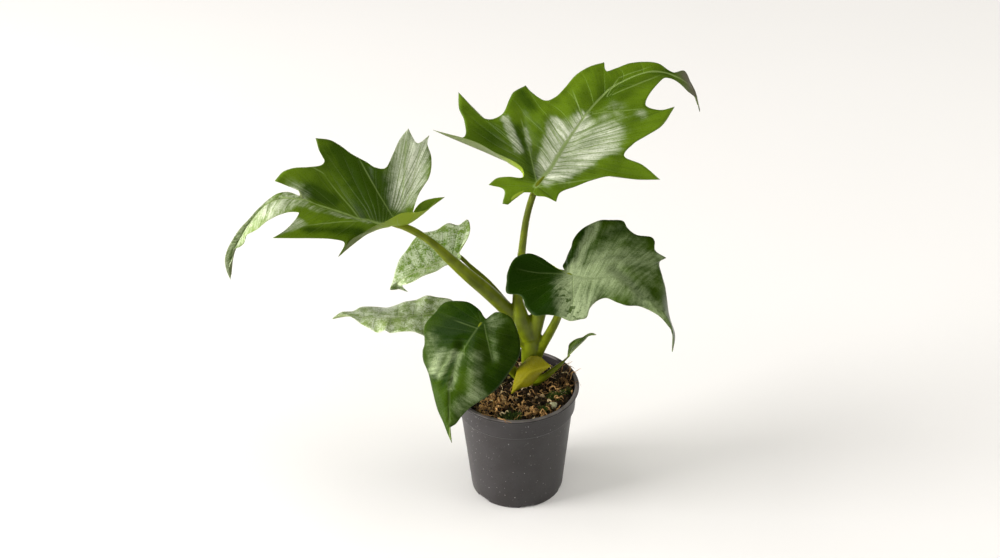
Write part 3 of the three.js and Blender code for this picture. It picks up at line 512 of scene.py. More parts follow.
def sheet_faces(stations, halves):
    """The triangles of a sheet whose points are its midrib's and then each half's columns.
    The right half takes its first and last columns from the left one."""
    sizes = [len(half["share"]) for half in halves]
    ids = len(stations) + np.arange(sum(sizes) * BLADE_ROWS).reshape(-1, BLADE_ROWS)
    ids = [ids[: sizes[0]], ids[sizes[0] :]]
    ids[1][0], ids[1][-1] = ids[0][0], ids[0][-1]
    faces = []
    for half, grid, flip in zip(halves, ids, (False, True)):
        faces.append(strip_to_midrib(stations, half["share"], grid[:, 0], flip))
        a, b, c, d = grid[:-1, :-1], grid[1:, :-1], grid[1:, 1:], grid[:-1, 1:]
        for corners in ((a, b, c), (a, c, d)):
            triangles = np.stack(corners, axis=-1).reshape(-1, 3)
            faces.append(triangles[:, ::-1] if flip else triangles)
    return np.vstack(faces)


def corner_normals(spots, faces):
    """Unit normals of points, as the sum of the normals of the triangles round each."""
    a, b, c = (spots[faces[:, corner]] for corner in range(3))
    total = np.zeros_like(spots)
    for corner in range(3):
        np.add.at(total, faces[:, corner], np.cross(b - a, c - a))
    return unit(total)


def open_edges(faces, count):
    """Directed edges of triangles that no other triangle shares."""
    edges = np.vstack([faces[:, pair] for pair in ([0, 1], [1, 2], [2, 0])])
    forth, back = edges @ [count, 1], edges @ [1, count]
    return edges[~np.isin(forth, back)]


def leaf_frame(leaf):
    """The leaf's own axes as rows: along the midrib, to its left, and out of its upper side."""
    heading, pitch, bank = (math.radians(leaf[name]) for name in ("heading", "pitch", "bank"))
    along = np.array([
        math.cos(pitch) * math.cos(heading), math.cos(pitch) * math.sin(heading), math.sin(pitch),
    ])
    level = np.array([-math.sin(heading), math.cos(heading), 0.0])
    left = math.cos(bank) * level + math.sin(bank) * np.cross(along, level)
    return np.stack([along, left, np.cross(along, left)])


def make_blade(name, leaf, material):
    """A leaf blade with thickness: the sheet is moved out both ways along its normals, less
    near the rim, with a rounded ridge below the midrib, and closed round the rim."""
    spots, faces, values = blade_sheet(leaf)
    normals = corner_normals(spots, faces)
    off, along = values["off"], values["along"]
    thin = np.clip((1 - values["out"]) / THINNING, 0, 1) ** 0.5
    half = BLADE_RIM_HALF + (BLADE_HALF - BLADE_RIM_HALF) * thin
    ridge = np.exp(-((off / MIDRIB_WIDTH) ** 2)) * (1 - RIB_TAPER * along)
    ridge *= MIDRIB_DEPTH * leaf["rib"] * np.clip(along / 0.03, 0, 1)
    groove = GROOVE_DEPTH * np.exp(-((off / GROOVE_WIDTH) ** 2)) * leaf["rib"]
    top = spots + normals * (half - groove)[:, None]
    low = spots - normals * (half + ridge)[:, None]
    count = len(spots)
    rim = open_edges(faces, count)
    start, end = rim.T
    walls = [np.stack([end, start, start + count], axis=1)]
    walls.append(np.stack([end, start + count, end + count], axis=1))
    shell = np.vstack([faces, faces[:, ::-1] + count, *walls])
    placed = np.vstack([top, low]) @ leaf_frame(leaf) + leaf["at"]
    layers = {key: np.tile(value, 2) for key, value in values.items()}
    layers["under"] = np.repeat([0, 1], count)
    blade = new_piece(f"{name}_blade", placed, shell, material, layers)
    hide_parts(name)


# Pieces


def linked(name, data):
    """An object of this data in the scene, at the origin."""
    made = bpy.data.objects.new(name, data)
    bpy.context.scene.collection.objects.link(made)
    return made


def mesh_object(name, spots, faces):
    """A mesh object from points in mm and lists of points for its faces."""
    mesh = bpy.data.meshes.new(name)
    faces = faces.tolist() if isinstance(faces, np.ndarray) else faces
    mesh.from_pydata((np.asarray(spots) * MM).tolist(), [], faces)
    return linked(name, mesh)


def new_piece(name, spots, faces, material, layers=None):
    """A smooth mesh object from points in mm, faces and values on the points. It rides on
    the plant's only body."""
    piece = mesh_object(name, spots, faces)
    mesh = piece.data
    for key, values in (layers or {}).items():
        layer = mesh.attributes.new(key, "FLOAT", "POINT")
        layer.data.foreach_set("value", np.asarray(values, np.float32))
    mesh.polygons.foreach_set("use_smooth", np.ones(len(mesh.polygons), bool))
    mesh.materials.append(material)
    mesh.update()
    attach(piece, "root")
    return piece


def ring_faces(rings, sides, inward=False):
    """Faces of a closed skin over rings of points: quads between one ring and the next, and a
    fan at each end to a pole. The two poles come after the rings. Returns the quads and the
    triangles."""
    ring, k = np.meshgrid(np.arange(rings - 1), np.arange(sides), indexing="ij")
    a, b = ring * sides + k, ring * sides + (k + 1) % sides
    quads = np.stack([a, b, b + sides, a + sides], axis=-1).reshape(-1, 4)
    k = np.arange(sides)
    after = (k + 1) % sides
    pole = np.full(sides, rings * sides)
    last = (rings - 1) * sides
    start = np.stack([pole, after, k], axis=1)
    end = np.stack([pole + 1, last + k, last + after], axis=1)
    parts = [quads, np.vstack([start, end])]
    return [np.roll(part[:, ::-1], 1, axis=1) for part in parts] if inward else parts


def face_lists(parts):
    """Arrays of faces as one list."""
    return [face for part in parts for face in part.tolist()]


def circle(count):
    """The cosines and sines of this many even steps round a circle."""
    angle = np.linspace(0, 2 * np.pi, count, endpoint=False)
    return np.cos(angle), np.sin(angle)


# Stem and petioles

# Rows of (x, y, z, radius) along each stalk, in mm, from inside the stem outwards. A stalk
# named after a leaf goes on to the place where its blade is held.
STALKS = {
    "stem": [
        (15.5, 17, 72, 10), (15.5, 17, 108, 10), (15, 16, 125, 9.6), (14.5, 16, 145, 9.2),
        (13.5, 15.5, 160, 8.6), (11, 15, 172, 7),
    ],
    "new_leaf_sheath": [
        (14, 15.5, 150, 7.5), (18, 14, 170, 7.6), (22, 12, 188, 7), (28, 9, 206, 5.4),
        (32, 6, 222, 3), (35, 4, 233, 0.8),
    ],
    "leaf_upper_right": [
        (13, 13, 160, 8), (7.5, 12, 176, 7.6), (4.6, 12, 188, 6.9), (2.4, 14, 203, 5),
        (3.6, 18, 222, 4.2), (6.5, 22, 247, 3.7), (12, 27, 285, 3.2),
    ],
    "leaf_left": [
        (13, 21, 147, 7), (6.5, 20, 167, 7.2), (-6, 15, 188.5, 7), (-25, 8, 215, 6.6),
        (-42, 4, 235, 6), (-58, 0, 255, 5), (-76, -3, 277, 3.5),
    ],
    "leaf_back_left": [
        (12, 18, 156, 5), (3, 21, 175, 3.6), (-8, 25, 191, 3), (-25, 30, 212, 2.6),
        (-41, 34, 227, 2.1),
    ],
    "leaf_low_left": [
        (14, 15, 140, 5), (4, 12, 158, 3.8), (-10, 10, 170, 3), (-33, 7, 181, 2.4),
    ],
    "leaf_front": [
        (14, 14, 110, 6), (4, 10, 117, 5.2), (-4, 5, 129, 4.6), (-12, -6, 152, 3.6),
        (-20, -22, 182, 3), (-26, -34, 199, 2.6),
    ],
    "leaf_right": [
        (17, 15, 132, 6.5), (24, 12.5, 149, 5), (32, 6, 170, 4.4), (39, -1, 192, 3.9),
        (44, -10, 220, 3),
    ],
    "leaf_yellow": [(17, 12, 124, 4), (24, 5.5, 132, 2.6), (29, 1, 136, 1.7)],
    "leaf_side_shoot": [
        (16, 10, 113, 4.5), (24, 4.5, 118, 3.6), (34, 4, 127, 2.9), (43, 5, 135, 1.9),
        (47, 6, 139, 1.1),
    ],
}
STALK_SIDES = 28
STALK_STEPS = 12
STALK_FRONT = np.array([0.1, -1.0, 0.05])
STEM_VOXEL = 0.75
STEM_SOFTENING = 0.5
STEM_SOFTENING_ROUNDS = 8


def ring_axes(path):
    """Two unit directions at right angles to a path at each of its points: one across it and
    one to the front."""
    across = unit(np.cross(unit(np.gradient(path, axis=0)), STALK_FRONT))
    return across, np.cross(across, unit(np.gradient(path, axis=0)))


def tube(path, radii):
    """A closed round tube: a ring of points at right angles to the path at each of its points,
    with its first point turned to the front, and a flat fan over each end."""
    across, ahead = ring_axes(path)
    cosine, sine = (part[None, :, None] for part in circle(STALK_SIDES))
    ring = ahead[:, None] * cosine + across[:, None] * sine
    spots = (path[:, None] + ring * np.asarray(radii)[:, None, None]).reshape(-1, 3)
    return np.vstack([spots, path[0], path[-1]]), ring_faces(len(path), STALK_SIDES)


def stalk_line(name):
    """A stalk's smooth path with its radius as a fourth value. One that holds a blade ends
    as a thin tail under the blade's midrib."""
    rows = [list(row) for row in STALKS[name]]
    if name in LEAVES:
        leaf = LEAVES[name]
        radius = rows[-1][3] * 0.92
        ridge, _ = midrib_at(leaf, [0.0, 0.06])
        ridge[:, 2] -= [radius * 0.95, 1.1]
        for spot, size in zip(ridge @ leaf_frame(leaf) + np.array(leaf["at"]), (1, 0.45)):
            rows.append([*spot, radius * size])
    return smooth_line(rows, STALK_STEPS)


def grown_together(lines):
    """Points in mm and quads of tubes joined into one skin by a fine grid of cubes, smoothed."""
    spots, faces, count = [], [], 0
    for line in lines:
        made, parts = tube(line[:, :3], line[:, 3])
        faces += face_lists(part + count for part in parts)
        spots.append(made)
        count += len(made)
    rough = mesh_object("stalks", np.vstack(spots), faces)
    skin = rough.modifiers.new("skin", "REMESH")
    skin.mode = "VOXEL"
    skin.voxel_size = STEM_VOXEL * MM
    soft = rough.modifiers.new("soft", "SMOOTH")
    soft.factor = STEM_SOFTENING
    soft.iterations = STEM_SOFTENING_ROUNDS
    evaluated = rough.evaluated_get(bpy.context.evaluated_depsgraph_get()).to_mesh()
    grown = np.empty(len(evaluated.vertices) * 3)
    evaluated.vertices.foreach_get("co", grown)
    quads = np.empty(len(evaluated.loops), np.int32)
    evaluated.loops.foreach_get("vertex_index", quads)
    bpy.data.objects.remove(rough)
    return grown.reshape(-1, 3) / MM, quads.reshape(-1, 4)


def make_stem(material):
    """The stem with all its stalks grown together. Every point carries its place along and
    round the nearest stalk."""
    lines = [stalk_line(name) for name in STALKS]
    spots, quads = grown_together(lines)
    stem = new_piece("stem_grown", spots, quads, material, stalk_places(spots, lines))
    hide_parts("stem")


def stalk_places(spots, lines):
    """Where each point lies on its nearest stalk: the share of the stalk's length, the turn
    round it, and which stalk it is. Nearest is by distance less the stalk's own radius."""
    paths = [line[:, :3] for line in lines]
    length = [run_length(path) for path in paths]
    share = np.concatenate([run / run[-1] for run in length])
    which = np.repeat(np.arange(len(lines)), [len(line) for line in lines])
    ways = np.vstack([np.gradient(path, axis=0) for path in paths])
    paths, radii = np.vstack(paths), np.vstack(lines)[:, 3]
    nearest = np.concatenate([
        np.argmin(np.linalg.norm(part[:, None] - paths[None], axis=2) - radii, axis=1)
        for part in np.array_split(spots, max(1, len(spots) // 4000))
    ])
    across = unit(np.cross(ways[nearest], STALK_FRONT))
    ahead = unit(np.cross(across, ways[nearest]))
    away = spots - paths[nearest]
    turn = np.arctan2((away * across).sum(1), (away * ahead).sum(1))
    return {"share": share[nearest], "turn": turn, "stalk": which[nearest]}


# Pot

POT_HEIGHT = 115.5
LIP_RADIUS = 60.0
LIP_HEIGHT = 2.8
COLLAR_TOP_RADIUS = 57.4
COLLAR_FOOT_RADIUS = 56.2
COLLAR_FOOT_Z = 92.0
BODY_TOP_RADIUS = 53.8
FOOT_RADIUS = 44.5
FOOT_RING_WIDTH = 4.0
POT_WALL = 1.4
GUTTER_RISE = 2.6
CENTRE_DISC_RADIUS = 24.0
NOTCHES = 6
NOTCH_WIDTH = 14.0
NOTCH_HEIGHT = 2.6
NOTCH_EDGE_DEG = 1.6
FIRST_NOTCH_DEG = -78.0
DRAIN_RADIUS = 4.0
DRAIN_PITCH_RADIUS = 32.0
ROD_SIDES = 40
ROD_LOW = -3.0
ROD_HEIGHT = 12.0
POT_TURNS = 240
FIT_GAP = 0.35

# The pot's section as (radius, height, size of the rounding there), from the middle of the
# underside, round the foot and the lip, and back to the middle of the floor.
POT_SECTION = [
    (0, 0, 0), (CENTRE_DISC_RADIUS, 0, 1), (CENTRE_DISC_RADIUS + 2, GUTTER_RISE, 1),
    (FOOT_RADIUS - FOOT_RING_WIDTH - 1, GUTTER_RISE, 1), (FOOT_RADIUS - FOOT_RING_WIDTH, 0, 0.8),
    (FOOT_RADIUS, 0, 1.6), (BODY_TOP_RADIUS, COLLAR_FOOT_Z - 0.8, 0.9),
    (COLLAR_FOOT_RADIUS, COLLAR_FOOT_Z + 0.6, 1.2),
    (COLLAR_TOP_RADIUS, POT_HEIGHT - LIP_HEIGHT - 0.6, 1.0),
    (LIP_RADIUS, POT_HEIGHT - LIP_HEIGHT + 0.2, 1.3), (LIP_RADIUS, POT_HEIGHT, 1.4),
    (COLLAR_TOP_RADIUS - POT_WALL, POT_HEIGHT, 0.7),
    (COLLAR_FOOT_RADIUS - POT_WALL, COLLAR_FOOT_Z + 1, 1.2),
    (BODY_TOP_RADIUS - POT_WALL, COLLAR_FOOT_Z - 1.4, 1.2),
    (FOOT_RADIUS - POT_WALL + 0.4, GUTTER_RISE + POT_WALL, 2),
    (CENTRE_DISC_RADIUS, GUTTER_RISE + POT_WALL, 1), (CENTRE_DISC_RADIUS - 2, POT_WALL, 1),
    (0, POT_WALL, 0),
]


def rounded_section(rows, arc_steps=6, longest=4.0):
    """A section with its corners rounded: each corner becomes a quadratic arc between points
    set back from it along both edges, and the straight parts are cut into short steps."""
    rows = np.array(rows, float)
    corner, size = rows[:, :2], rows[:, 2]
    back, on = (unit(np.roll(corner, by, axis=0) - corner) * size[:, None] for by in (1, -1))
    t = np.linspace(0, 1, arc_steps)[None, :, None]
    arcs = corner[:, None] + back[:, None] * (1 - t) ** 2 + on[:, None] * t**2
    line = arcs.reshape(-1, 2)
    line = line[np.r_[True, np.linalg.norm(np.diff(line, axis=0), axis=1) > 1e-6]]
    length = run_length(line)
    extra = [np.arange(a + longest, b - longest / 2, longest)
             for a, b in zip(length[:-1], length[1:]) if b - a > 1.5 * longest]
    at = np.sort(np.concatenate([length] + extra))
    return np.stack([np.interp(at, length, line[:, i]) for i in range(2)], axis=1)


def drill_rod(index):
    """A round rod through the pot's gutter where a drain hole goes."""
    angle = math.radians(FIRST_NOTCH_DEG + (index + 0.5) * 360 / NOTCHES)
    cosine, sine = circle(ROD_SIDES)
    x = DRAIN_PITCH_RADIUS * math.cos(angle) + DRAIN_RADIUS * cosine
    y = DRAIN_PITCH_RADIUS * math.sin(angle) + DRAIN_RADIUS * sine
    low = np.stack([x, y, np.full(ROD_SIDES, ROD_LOW)], axis=1)
    k = np.arange(ROD_SIDES)
    after = (k + 1) % ROD_SIDES
    walls = np.stack([k, after, after + ROD_SIDES, k + ROD_SIDES], axis=1)
    return np.vstack([low, low + [0, 0, ROD_HEIGHT]]), [walls, k[None, ::-1], k[None] + ROD_SIDES]


def drilled(pot):
    """Cuts the drain holes out of the pot's mesh."""
    rods = [drill_rod(index) for index in range(NOTCHES)]
    faces = face_lists(part + 2 * ROD_SIDES * i for i, rod in enumerate(rods) for part in rod[1])
    cutter = mesh_object("rods", np.vstack([spots for spots, _ in rods]), faces)
    cut = pot.modifiers.new("drain holes", "BOOLEAN")
    cut.operation = "DIFFERENCE"
    cut.solver = "MANIFOLD"
    cut.object = cutter
    evaluated = pot.evaluated_get(bpy.context.evaluated_depsgraph_get())
    pot.data = bpy.data.meshes.new_from_object(evaluated)
    pot.modifiers.clear()
    bpy.data.objects.remove(cutter)


def make_pot(material):
    """The pot turned from its section. Its foot ring is lifted to make each notch, and the
    drain holes are drilled through the gutter."""
    section = rounded_section(POT_SECTION)
    angle = np.linspace(0, 360, POT_TURNS, endpoint=False)
    pitch = 360 / NOTCHES
    off_notch = np.abs((angle - FIRST_NOTCH_DEG + pitch / 2) % pitch - pitch / 2)
    half = math.degrees(NOTCH_WIDTH / 2 / FOOT_RADIUS)
    lift = NOTCH_HEIGHT * np.clip((half - off_notch) / NOTCH_EDGE_DEG + 0.5, 0, 1)
    outer = np.arange(len(section)) < np.argmax(section[:, 1])
    on_foot = outer & (section[:, 0] > FOOT_RADIUS - FOOT_RING_WIDTH - 1.2)
    radius, height = (np.repeat(section[:, [i]], POT_TURNS, axis=1) for i in range(2))
    height = np.where(on_foot[:, None], np.maximum(height, lift), height)
    cosine, sine = circle(POT_TURNS)
    grid = np.stack([radius * cosine, radius * sine, height], axis=-1)
    spots = np.vstack([grid[1:-1].reshape(-1, 3), grid[0, 0], grid[-1, 0]])
    faces = face_lists(ring_faces(len(grid) - 2, POT_TURNS))
    pot = new_piece("pot_turned", spots, faces, material)
    drilled(pot)
    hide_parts("pot")


# Potting mix

SOIL_LEVEL = 107.0
SOIL_SLOPE = 0.05
# Waves of the mix's top: size in mm, then (per mm of x, per mm of y, start) of both sines.
SOIL_WAVES = (
    (1.5, (0.11, 0, 0.7), (0, 0.13, 1.9)),
    (1.3, (0.37, 0.21, 0), (-0.17, 0.33, 1)),
    (0.7, (0.83, 0, 2), (0, 0.77, 0.5)),
)
SOIL_TURNS = 280
SOIL_STEPS = 84
STEM_FOOT = (15.5, 17.0, 72.0)
STEM_HOLE_RADIUS = 10.4
STEM_CLEARANCE = 2
LATTICE = 64
LATTICE_SHIFT = 100
LATTICE_VALUES = RANDOM.random((LATTICE, LATTICE))
STRAND_COUNT = 170
STRAND_STEPS = 16
STRAND_SIDES = 3
STRAND_REACH = 53.6
STRAND_LENGTH = (7, 31)
STRAND_SWING = (0.5, 2.6)
STRAND_LIFT = (0.6, 4.6)
THINNEST = 0.17
THICKENING = 0.75
MATTED_LENGTH = (6, 14)
MATTED_LIFT = 1.2
MATTED_TONES = 0.3
BUNDLE_SIDE = np.array([0.31, 0.17, 0.93])
# Matted clumps of short strands: middle x and y, spread and how many strands, their tone.
CLUMPS = (
    (-19, -17, 7.0, 120, 0.6), (-29, -36, 4.5, 34, 0.5), (16, -37, 4.5, 26, 0.66),
    (3, -28, 4.0, 14, 0.6), (42, 4, 7.0, 40, 0.4), (30, -44, 4.0, 14, 0.5),
)
# Tufts over the rim: their angle in degrees, how many strands, and how far they rise.
TUFTS = ((8, 7, 5.0), (25, 4, 3.0), (72, 5, 6.0), (250, 4, 3.0))
TUFT_FROM = 50
TUFT_REACH = (8, 16)
TUFT_SPREAD = 0.16
TUFT_LEAN = 0.3
TUFT_TONES = (0.25, 0.65)
TUFT_THINNING = 0.7
CRUMB_COUNT = 380
CRUMB_STEPS = 7
CRUMB_SIDES = 7
CRUMB_REACH = 53.0
CRUMB_SIZE = (0.6, 2.3)
CRUMB_STRETCH = (0.8, 1.7)
CRUMB_TILT = 0.5
CRUMB_UNEVEN = (0.6, 1.1)
MOSS_COUNT = 620
MOSS_STEPS = 6
MOSS_SIDES = 5
MOSS_REACH = 52.5
MOSS_HEIGHT = (2.0, 4.4)
MOSS_RADIUS = 0.42
MOSS_STRAY = 0.35
MOSS_SPLAY = 0.7
MOSS_SUNK = 0.6
# Cushions of live moss: middle x and y, radius, and the share of the spikes.
CUSHIONS = (
    (-4, -45, 8, 0.36), (-12, -46, 6, 0.2), (26, -34, 5, 0.14), (36, -14, 7, 0.18),
    (46, -6, 5, 0.12),
)


def lumps(x, y, size):
    """Smooth random bumps from -1 to 1 that are about size mm across: values on a square
    lattice, joined by smooth steps."""
    u, v = x / size + LATTICE_SHIFT, y / size + LATTICE_SHIFT
    i, j = np.floor(u).astype(int), np.floor(v).astype(int)
    s, t = u - i, v - j
    s, t = s * s * (3 - 2 * s), t * t * (3 - 2 * t)
    a, b, c, d = (
        LATTICE_VALUES[(i + right) % LATTICE, (j + up) % LATTICE]
        for right, up in ((0, 0), (1, 0), (0, 1), (1, 1))
    )
    return 2 * ((a * (1 - s) + b * s) * (1 - t) + (c * (1 - s) + d * s) * t) - 1


def soil_height(x, y):
    """The height of the mix's top: a slope up to the right front, broad waves, clods and
    crumbs, each of the last three a product of two sines."""
    height = SOIL_LEVEL
    for size, (ax, ay, start), (bx, by, other_start) in SOIL_WAVES:
        wave = size * np.sin(ax * x + ay * y + start)
        height = height + wave * np.sin(bx * x + by * y + other_start)
    return height + SOIL_SLOPE * (x - 0.6 * y)


def soil_wall(z):
    """The pot's inner radius at a height, less the gap to the mix."""
    heights = (GUTTER_RISE + POT_WALL, COLLAR_FOOT_Z - 1.4, COLLAR_FOOT_Z + 1, POT_HEIGHT)
    radii = (FOOT_RADIUS, BODY_TOP_RADIUS, COLLAR_FOOT_RADIUS, COLLAR_TOP_RADIUS)
    return np.interp(z, heights, radii) - POT_WALL - FIT_GAP


def make_soil(material):
    """The potting mix as one closed skin. At each turn a line runs from the bottom of the
    stem's hole up its wall, over the rough top to the pot's wall, and down to the floor."""
    ring = np.stack(circle(SOIL_TURNS), axis=-1)
    hole = np.array(STEM_FOOT[:2]) + STEM_HOLE_RADIUS * ring
    share = np.linspace(0, 1, SOIL_STEPS)[:, None, None]
    x, y = np.moveaxis(hole * (1 - share) + soil_wall(SOIL_LEVEL) * ring * share, -1, 0)
    fade = np.clip(np.minimum(share[..., 0], 1 - share[..., 0]) / 0.04, 0, 1)
    rough = 0.9 * lumps(x, y, 3.6) + 0.5 * lumps(y, x, 1.7) + 0.3 * lumps(x, y, 0.8)
    surface = np.dstack([x, y, soil_height(x, y) + fade * rough])

    def level_ring(line, z):
        return np.column_stack([line, np.full(SOIL_TURNS, z)])[None]

    low, floor = STEM_FOOT[2] - FIT_GAP, GUTTER_RISE + POT_WALL + FIT_GAP
    rows = [level_ring(hole, z) for z in (low, 90.0)] + [surface]
    rows += [level_ring(soil_wall(z) * ring, z)
             for z in (COLLAR_FOOT_Z + 2.2, COLLAR_FOOT_Z - 0.8, floor)]
    rows = np.vstack(rows)
    spots = np.vstack([rows.reshape(-1, 3), (*STEM_FOOT[:2], low), (0, 0, floor)])
    faces = face_lists(ring_faces(len(rows), SOIL_TURNS, inward=True))
    soil = new_piece("potting_mix", spots, faces, material)
    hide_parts("soil")


def any_turn(*shape, whole=2 * np.pi):
    """Random angles."""
    return RANDOM.uniform(0, whole, shape)


def scattered(count, outer):
    """Random places on the mix, even by area, that keep clear of the stem."""
    radius = np.sqrt(RANDOM.uniform(0, outer**2, count))
    angle = any_turn(count)
    x, y = radius * np.cos(angle) - STEM_FOOT[0], radius * np.sin(angle) - STEM_FOOT[1]
    push = np.maximum(1, (STEM_HOLE_RADIUS + STEM_CLEARANCE) / np.maximum(np.hypot(x, y), 0.1))
    return STEM_FOOT[0] + x * push, STEM_FOOT[1] + y * push


def held_in(x, y, reach):
    """Places drawn in to within a radius of the pot's axis."""
    share = np.minimum(1, reach / np.maximum(np.hypot(x, y), 1))
    return x * share, y * share


def new_bundle(name, paths, radii, sides, tones, material):
    """Many closed tubes as one piece: paths is (tube, step, 3) and radii (tube, step). Rings
    stand at right angles to each path, both ends draw in to a point, and each tube carries
    its own tone."""
    way = unit(np.gradient(paths, axis=1))
    across = unit(np.cross(way, BUNDLE_SIDE))
    ahead = np.cross(across, way)
    cosine, sine = (part[:, None] for part in circle(sides))
    ring = ahead[:, :, None] * cosine + across[:, :, None] * sine
    spots = (paths[:, :, None] + ring * radii[:, :, None, None])[:, 1:-1]
    spots = np.concatenate([spots.reshape(len(paths), -1, 3), paths[:, [0, -1]]], axis=1)
    shift = np.arange(len(paths))[:, None, None] * spots.shape[1]
    faces = []
    for part in ring_faces(paths.shape[1] - 2, sides):
        faces += (part + shift).reshape(-1, part.shape[1]).tolist()
    layers = {"tone": np.repeat(tones, spots.shape[1])}
    piece = new_piece(name, spots.reshape(-1, 3), faces, material, layers)


def between(ends, share):
    """A number between two ends by a share."""
    return ends[0] + (ends[1] - ends[0]) * share


def strand_paths(x, y, matted):
    """Paths over the mix from places on it. Each one's heading swings as two sines, and it
    rises in a low hump and dives into the mix at both ends."""
    count = len(x)
    t = np.linspace(-1, 1, STRAND_STEPS)[None]
    chance = RANDOM.random((count, 1))
    loose = between(STRAND_LENGTH, chance**1.6)
    length = np.where(matted, between(MATTED_LENGTH, chance), loose)
    turn = any_turn(count, 1)
    swing = RANDOM.uniform(*STRAND_SWING, (2, count, 1)) * (1 + 0.5 * matted)
    phase = any_turn(2, count, 1)
    heading = turn + swing[0] * np.sin(2.1 * t + phase[0])
    heading = heading + 0.6 * swing[1] * np.sin(5 * t + phase[1])
    x, y = (
        start + np.cumsum(way, axis=1) * length / STRAND_STEPS
        for start, way in ((x, np.cos(heading)), (y, np.sin(heading)))
    )
    x, y = held_in(x, y, STRAND_REACH)
    lift = RANDOM.uniform(*STRAND_LIFT, (count, 1)) + MATTED_LIFT * matted
    z = soil_height(x, y) + lift * (1 - t**4) + 0.5 * np.sin(7 * t + phase[0]) - 0.4
    return np.dstack([x, y, z])


def tuft(angle, count, rise):
    """Paths of a few strands that climb from the mix at one place of the rim, bow over the lip
    as a half sine and curl at their ends."""
    t = np.linspace(0, 1, STRAND_STEPS)[None]
    spread = RANDOM.uniform(-TUFT_SPREAD, TUFT_SPREAD, (count, 1))
    lean = RANDOM.uniform(-TUFT_LEAN, TUFT_LEAN, (count, 1))
    radius = TUFT_FROM + RANDOM.uniform(*TUFT_REACH, (count, 1)) * t
    around = angle + spread + lean * t**2 + 0.03 * np.sin(9 * t + spread * 40)
    top = POT_HEIGHT + 0.8 + rise * RANDOM.uniform(0.2, 1, (count, 1))
    z = SOIL_LEVEL - 1 + (top - SOIL_LEVEL + 1) * np.sin(np.pi * (0.02 + 0.62 * t))
    return np.dstack([radius * np.cos(around), radius * np.sin(around), z])


def make_strands(material):
    """Curly strands of coir and dead moss: some alone, some matted in clumps, and some in
    tufts that start inside the rim and reach over it."""
    rows = [np.stack(scattered(STRAND_COUNT, 52.0), axis=1)]
    rows += [RANDOM.normal((x, y), spread, (count, 2)) for x, y, spread, count, _ in CLUMPS]
    x, y = np.vstack(rows).T[..., None]
    lying = len(x)
    matted = (np.arange(lying) >= STRAND_COUNT)[:, None]
    paths = [strand_paths(x, y, matted)]
    tones = [RANDOM.random(STRAND_COUNT)]
    for *_, count, tone in CLUMPS:
        tones.append(tone + RANDOM.uniform(-MATTED_TONES, MATTED_TONES, count))
    for angle, count, rise in TUFTS:
        paths.append(tuft(math.radians(angle), count, rise))
        tones.append(RANDOM.uniform(*TUFT_TONES, count))
    paths, tones = np.vstack(paths), np.clip(np.concatenate(tones), 0, 1)
    count = len(paths)
    t = np.linspace(-1, 1, STRAND_STEPS)[None]
    radii = (THINNEST + THICKENING * RANDOM.random(count) ** 2.2)[:, None] * (1 - 0.55 * t**2)
    radii[lying:] *= TUFT_THINNING
    radii = radii * (1 + 0.25 * np.sin(9 * t + RANDOM.uniform(0, 6, (count, 1))))
    new_bundle("moss_strands", paths, radii, STRAND_SIDES, tones, material)


def make_crumbs(material):
    """Crumbs of bark and peat: uneven little balls, each with five rings of seven points,
    stretched and turned its own way, that lie half sunk in the mix."""
    x, y = scattered(CRUMB_COUNT, CRUMB_REACH)
    size = RANDOM.uniform(*CRUMB_SIZE, CRUMB_COUNT)[:, None]
    turn = any_turn(CRUMB_COUNT, whole=np.pi)[:, None]
    t = np.linspace(-1, 1, CRUMB_STEPS)[None]
    reach = size * RANDOM.uniform(*CRUMB_STRETCH, (CRUMB_COUNT, 1)) * t
    tilt = RANDOM.uniform(-CRUMB_TILT, CRUMB_TILT, (CRUMB_COUNT, 1))
    z = soil_height(x, y)[:, None] + 0.3 * size + reach * tilt
    paths = np.dstack([x[:, None] + reach * np.cos(turn), y[:, None] + reach * np.sin(turn), z])
    uneven = RANDOM.uniform(*CRUMB_UNEVEN, (CRUMB_COUNT, CRUMB_STEPS))
    radii = size * np.sqrt(np.maximum(0, 1 - t**2)) * uneven
    tones = RANDOM.random(CRUMB_COUNT)
    new_bundle("bark_crumbs", paths, radii, CRUMB_SIDES, tones, material)


def make_moss(material):
    """Live moss: short curved spikes that lean out from the middle of each cushion."""
    *middle, reach, share = np.array(CUSHIONS).T
    which = RANDOM.choice(len(CUSHIONS), MOSS_COUNT, p=share)
    angle = any_turn(MOSS_COUNT)
    far = np.sqrt(RANDOM.random(MOSS_COUNT))[:, None]
    out = np.stack([np.cos(angle), np.sin(angle)], axis=1) * far
    base = np.stack(middle, axis=1)[which] + out * reach[which, None]
    base = np.stack(held_in(*base.T, MOSS_REACH), axis=1)
    t = np.linspace(0, 1, MOSS_STEPS)[None]
    tall = RANDOM.uniform(*MOSS_HEIGHT, MOSS_COUNT)[:, None] * (1.3 - 0.5 * far)
    lean = RANDOM.normal(0, MOSS_STRAY, (MOSS_COUNT, 2)) + out * MOSS_SPLAY
    x, y = (base[:, [i]] + lean[:, [i]] * tall * t**1.5 for i in range(2))
    z = soil_height(*base.T)[:, None] - MOSS_SUNK + (tall + MOSS_SUNK) * t
    radii = MOSS_RADIUS * np.sin(np.pi * (0.1 + 0.85 * t)) * np.ones((MOSS_COUNT, 1))
    tones = RANDOM.random(MOSS_COUNT)
    new_bundle("live_moss", np.dstack([x, y, z]), radii, MOSS_SIDES, tones, material)


STONE_AT = (34.0, -29.0, 111.0)
STONE_SIZE = (5.3, 4.1, 3.3)
STONE_TURN = 0.4
STONE_SIDES = 64
STONE_ROWS = 34
STONE_PLANES = 14


